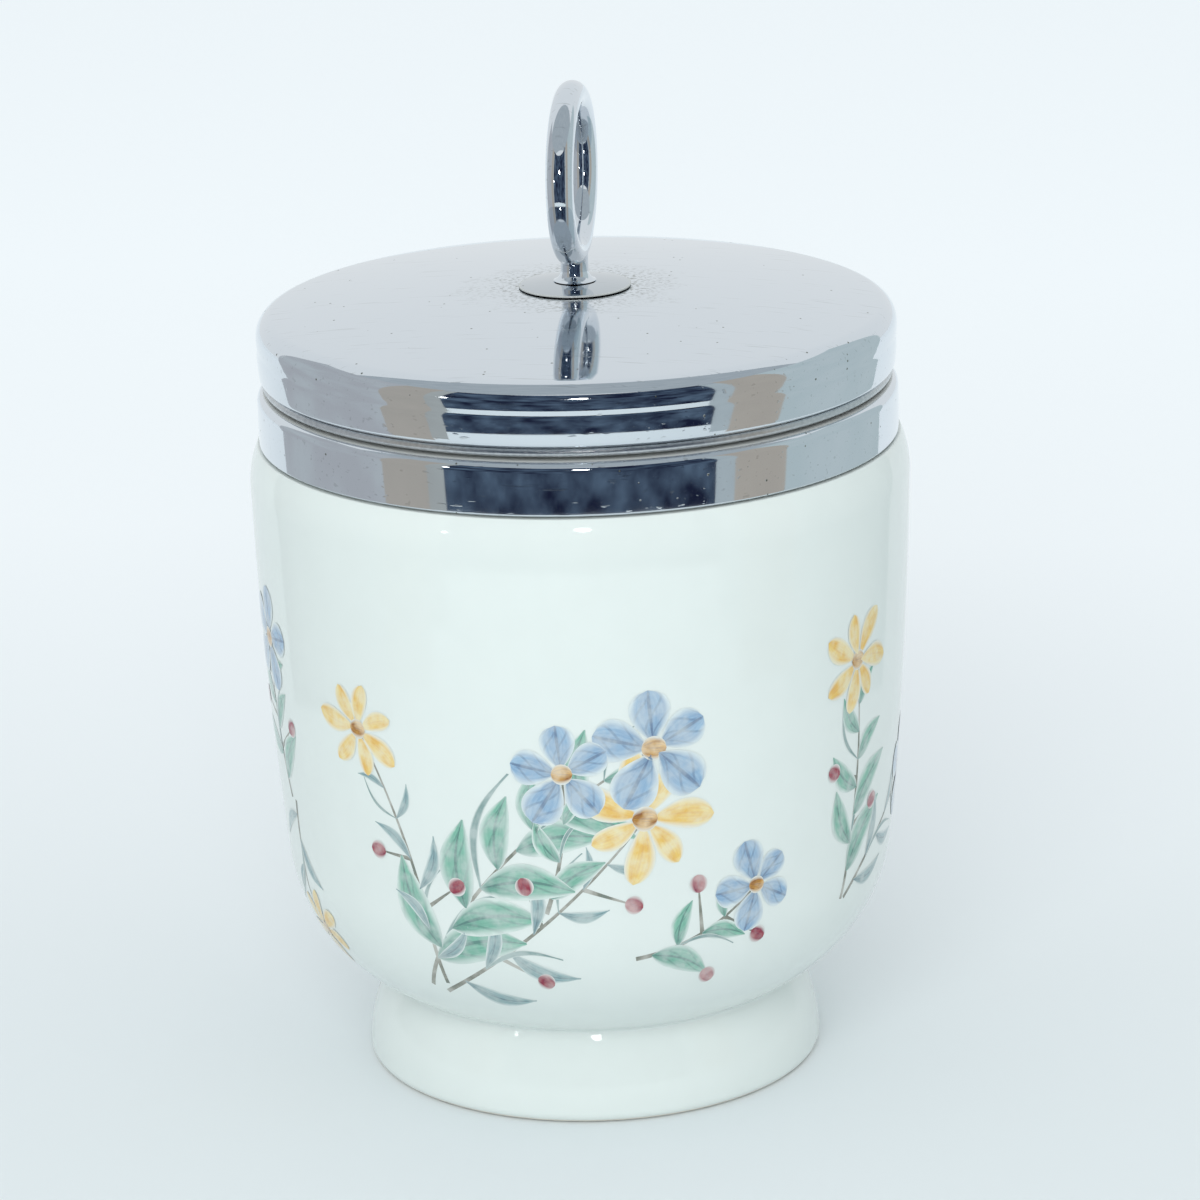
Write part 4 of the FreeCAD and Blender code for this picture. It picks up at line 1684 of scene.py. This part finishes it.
@dataclass(frozen=True)
class Studio:
    """Pale table, soft light, and the surroundings that the chrome mirrors."""

    camera_distance: float = 410.6
    camera_height: float = 167.7
    camera_side: float = 1.43
    camera_pitch: float = 17.12
    camera_roll: float = -1.53
    camera_turn: float = 9.0
    focal_pixels: float = 4883.0
    image_pixels: float = 1200.0
    sensor_mm: float = 36.0
    nearest: float = 0.01
    farthest: float = 20.0
    table_half: float = 4.0
    # Painted light on the table: its tone lightens and it glows faintly towards the back
    table_painted_light_fade: tuple[float, float] = (-0.06, 0.16)
    table_painted_light_tones: tuple[str, str] = ("#e0e7e9", "#f6fafc")
    table_painted_glow: str = "#e6f2fa"
    painted_glow_fade: tuple[float, float] = (0.02, 0.3)
    painted_glow_strength: float = 0.10
    room_tone: str = "#f3f7f9"
    room_strength: float = 0.9
    lamp_way: tuple[float, float, float] = (-8, 30, 600)
    lamp_aim: float = 0.04
    lamp_size: float = 0.34
    lamp_power: float = 1.3
    disc_aim: float = 0.065
    disc_sides: int = 24
    disc_tones: tuple[str, str] = ("#fffdf8", "#ffffff")
    ceiling_height: float = 0.3
    ceiling_half: float = 0.9
    ceiling_depth: tuple[float, float] = (-0.27, 0.05)
    ceiling_tones: tuple[str, str] = ("#a9b2b8", "#b4bcc1")
    panel_step: float = 4
    mottle_mm: float = 30
    mottle_fade: tuple[float, float] = (0.38, 0.68)
    panels: tuple[Panel, ...] = (
        Panel("grey_left", -117, -64.6, 110, 150, "#b3b6bb", "#bcc3c7"),
        Panel("beige_left", -69, -49, 125, 160, "#b5afa7", "#b0aba3"),
        Panel("edge_left", -54, -44, 150, 170, "#b0b5b4", "#a9adac"),
        Panel("dark_front", -52, 52, 185, 200, "#1c2238", "#586a7e"),
        Panel("edge_right", 44.3, 56, 150, 170, "#b5c0c4", "#aeb8bd"),
        Panel("beige_right", 50.2, 73, 125, 160, "#b8b1a7", "#b3aca3"),
        Panel("grey_right", 68.7, 122, 110, 150, "#bccacd", "#c3cfd2"),
    )
    discs: tuple[LampDisc, ...] = (
        LampDisc("flash", 0.5, 34, 215, 8.0, 24.0),
        LampDisc("side_lamp", -43, 30, 165, 3.0, 12.0),
    )

    def build_camera(self) -> None:
        """Place the camera that was solved from the photograph's ellipses."""
        pitch, roll = math.radians(self.camera_pitch), math.radians(self.camera_roll)
        forward = Vector((0, math.cos(pitch), -math.sin(pitch)))
        level = Vector((1, 0, 0))
        upright = level.cross(forward)
        right = level * math.cos(roll) + upright * math.sin(roll)
        above = upright * math.cos(roll) - level * math.sin(roll)
        turn = Matrix.Rotation(math.radians(self.camera_turn), 3, "Z")
        axes = [turn @ right, turn @ above, -(turn @ forward)]
        place = turn @ Vector((self.camera_side, -self.camera_distance, self.camera_height)) * MM
        data = bpy.data.cameras.new("camera")
        data.sensor_width = self.sensor_mm
        data.lens = self.focal_pixels / self.image_pixels * self.sensor_mm
        data.clip_start = self.nearest
        data.clip_end = self.farthest
        camera = bpy.data.objects.new("camera", data)
        rows = [[axis[row] for axis in axes] + [place[row]] for row in range(3)]
        camera.matrix_world = Matrix(rows + [[0, 0, 0, 1]])
        bpy.context.scene.collection.objects.link(camera)
        bpy.context.scene.camera = camera

    def build_floor(self) -> None:
        """Lay the pale table, with painted light: lighter and faintly glowing further back."""
        shape = bmesh.new()
        bmesh.ops.create_grid(shape, x_segments=2, y_segments=2, size=self.table_half)
        mesh = finished_mesh("table_top", shape)
        floor = new_object("table_top", mesh)
        material, tree, shader = new_material("pale_table")
        # Painted light: a lighter tone and a faint glow towards the back, though no lamp lights it so
        side = add_node(tree, "ShaderNodeSeparateXYZ", {0: object_place(tree)}).outputs[1]
        near_painted_tone, far_painted_tone = [to_linear(tone) for tone in self.table_painted_light_tones]
        tone = blend_colours(tree, ramp(tree, side, *self.table_painted_light_fade), near_painted_tone, far_painted_tone)
        tree.links.new(tone, shader.inputs["Base Color"])
        shader.inputs["Emission Color"].default_value = to_linear(self.table_painted_glow)
        glow = ramp(tree, side, *self.painted_glow_fade, 0.0, self.painted_glow_strength)
        tree.links.new(glow, shader.inputs["Emission Strength"])
        shader.inputs["Roughness"].default_value = 0.9
        shader.inputs["Specular IOR Level"].default_value = 0.1
        floor.data.materials.append(material)

    def toward(self, azimuth: float, elevation: float, distance: float) -> Vector:
        """Return a place by its direction from the pot.

        Args:
            azimuth: Angle from the camera's side of the pot, in degrees, growing to the right.
            elevation: Angle above the floor.
            distance: Distance from the origin, in millimetres.

        Returns:
            The place in metres.
        """
        side, up = math.radians(self.camera_turn + azimuth), math.radians(elevation)
        flat = distance * MM * math.cos(up)
        return Vector((math.sin(side) * flat, -math.cos(side) * flat, distance * MM * math.sin(up)))

    def build_light(self) -> None:
        """Light the table softly from all round, with a round lamp that the chrome doesn't show."""
        world = bpy.data.worlds.new("soft_room")
        bpy.context.scene.world = world
        world.use_nodes = True
        backdrop = world.node_tree.nodes["Background"]
        backdrop.inputs[0].default_value = to_linear(self.room_tone)
        backdrop.inputs[1].default_value = self.room_strength
        light = bpy.data.lights.new("soft_lamp", "AREA")
        light.shape = "DISK"
        light.size = self.lamp_size
        light.energy = self.lamp_power
        holder = bpy.data.objects.new("soft_lamp", light)
        holder.location = self.toward(*self.lamp_way)
        aim = Vector((0, 0, self.lamp_aim)) - holder.location
        holder.rotation_euler = aim.to_track_quat("-Z", "Y").to_euler()
        holder.visible_glossy = False
        bpy.context.scene.collection.objects.link(holder)

    def build_surroundings(self) -> None:
        """Stand what only mirrors see: the dark room in front, walls at its sides and a grey ceiling."""
        for panel in self.panels:
            self.stand(panel)
        self.ceiling()
        for disc in self.discs:
            self.hang(disc)

    def hang(self, disc: LampDisc) -> None:
        """Hang a bright disc that faces the pot, for the sharp highlights in chrome and glaze.

        Args:
            disc: The disc.
        """
        place = self.toward(disc.azimuth, disc.elevation, disc.distance)
        shape = bmesh.new()
        bmesh.ops.create_circle(shape, cap_ends=True, segments=self.disc_sides, radius=disc.radius * MM)
        facing = (Vector((0, 0, self.disc_aim)) - place).to_track_quat("Z", "Y").to_matrix().to_4x4()
        shape.transform(Matrix.Translation(place) @ facing)
        self.card(disc.name, shape, *self.disc_tones, disc.strength)

    def ceiling(self) -> None:
        """Hang the grey ceiling that the chrome's shoulders mirror."""
        half, (near, far) = self.ceiling_half, self.ceiling_depth
        shape = bmesh.new()
        turn = Matrix.Rotation(math.radians(self.camera_turn), 3, "Z")
        spots = [Vector((-half, near, self.ceiling_height)), Vector((half, near, self.ceiling_height)),
                 Vector((half, far, self.ceiling_height)), Vector((-half, far, self.ceiling_height))]
        shape.faces.new([shape.verts.new(turn @ spot) for spot in spots])
        self.card("grey_ceiling", shape, *self.ceiling_tones)

    def stand(self, panel: Panel) -> None:
        """Stand one curved panel round the pot.

        Args:
            panel: The panel.
        """
        shape = bmesh.new()
        columns = []
        rise = Vector((0, 0, panel.top * MM))
        steps = max(2, int((panel.last - panel.first) / self.panel_step))
        for step in range(steps + 1):
            foot = self.toward(panel.first + (panel.last - panel.first) * step / steps, 0.0, panel.distance)
            columns.append([shape.verts.new(foot), shape.verts.new(foot + rise)])
        for left, right in zip(columns, columns[1:]):
            shape.faces.new((left[0], right[0], right[1], left[1]))
        self.card(panel.name, shape, panel.tone, panel.shade)

    def card(self, name: str, shape: bmesh.types.BMesh, tone: str, shade: str,
             strength: float = 1.0) -> None:
        """Make a card that shines in mirrors only, in two mottled tones.

        Args:
            name: The card's name.
            shape: Its mesh, which is used up.
            tone: Its colour.
            shade: The colour of its mottling.
            strength: How bright it shines.
        """
        mesh = finished_mesh(name, shape)
        piece = new_object(name, mesh)
        material = bpy.data.materials.new(name)
        material.use_nodes = True
        tree = material.node_tree
        tree.nodes.clear()
        cloud = noise(tree, object_place(tree), self.mottle_mm, 5.0)
        mottle = ramp(tree, cloud, *self.mottle_fade)
        colour = blend_colours(tree, mottle, to_linear(tone), to_linear(shade))
        glow = add_node(tree, "ShaderNodeEmission", {"Color": colour, "Strength": strength})
        add_node(tree, "ShaderNodeOutputMaterial", {"Surface": glow.outputs[0]})
        mesh.materials.append(material)
        for ray in ("camera", "diffuse", "shadow", "transmission", "volume_scatter"):
            setattr(piece, "visible_" + ray, False)


# Building

def dress_hidden_nodes(nodes: dict[str, bpy.types.Object]) -> None:
    """Give the plain solids that stay their finishes.

    Args:
        nodes: The frame's node objects by name.
    """
    finishes = {
        "cement_bed": PlainFinish("cement_cast_set", "#c9c5bb", "#b4b0a6", roughness=0.85),
        "sealing_washer": PlainFinish("rubber_moulded_seal", "#b9b2a4", "#aaa394", roughness=0.6),
        "back_washer": PlainFinish("steel_zinc_plated", "#b8babc", "#a4a6a9", roughness=0.3, metallic=1.0),
    }
    for name, finish in finishes.items():
        nodes[name].data.materials.clear()
        nodes[name].data.materials.append(finish.build())


def main() -> None:
    """Build every piece in order, then the studio."""
    logging.basicConfig(level=logging.INFO, format="%(message)s")
    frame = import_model()
    bpy.context.scene.view_settings.view_transform = "Standard"

    # Finishes: the ledge carries painted light for the gap, the washer's rim a crust, and the cap is worn
    # round its middle
    collar_chrome = ChromePlate("chrome_plate_spun_collar", pits=0.35, gap_light_ledge_mm=61.45).build()
    cap_chrome = ChromePlate("chrome_plate_pressed_cap", worn_centre_mm=10.0).build()
    # The washer's chrome is a darker copy of the plate, a painted dark reflection of what its dome mirrors;
    # its rim crust is real
    dark_reflection_washer_plate = ChromePlate("chrome_plate_stamped_washer", "#c3c9ce", pits=0.35, scaled_rim_mm=4.78)
    washer_chrome = dark_reflection_washer_plate.build()
    ring_chrome = ChromePlate("chrome_plate_bent_wire", pits=0.1).build()
    satin = PlainFinish("aluminium_rolled_satin", "#d5d8da", "#bfc3c6", roughness=0.33, metallic=1.0)
    liner_metal = satin.build()

    # Pieces, from the pot up to the ring
    studio = Studio()
    pot = Pot()
    pot.build(GlazedPorcelain().build())
    Decoration(pot, studio.camera_turn).build()
    Collar().build(collar_chrome)
    lid = Lid()
    lid.build_cap(cap_chrome)
    lid.build_liner(liner_metal)
    Thread("collar_thread", radius=26.06, wire=0.42, start_turn=0.0, body=Body.POT,
           slot="chrome_collar").build(collar_chrome)
    Thread("liner_thread", radius=26.68, wire=0.35, start_turn=180.0, body=Body.LID,
           slot="liner_metal").build(liner_metal)
    ring = Ring()
    ring.build_washer(washer_chrome)
    ring.build_ring(ring_chrome)
    dress_hidden_nodes(frame["nodes"])

    # Camera, table, light and what the chrome mirrors
    studio.build_camera()
    studio.build_floor()
    studio.build_light()
    studio.build_surroundings()


if __name__ == "__main__":
    main()
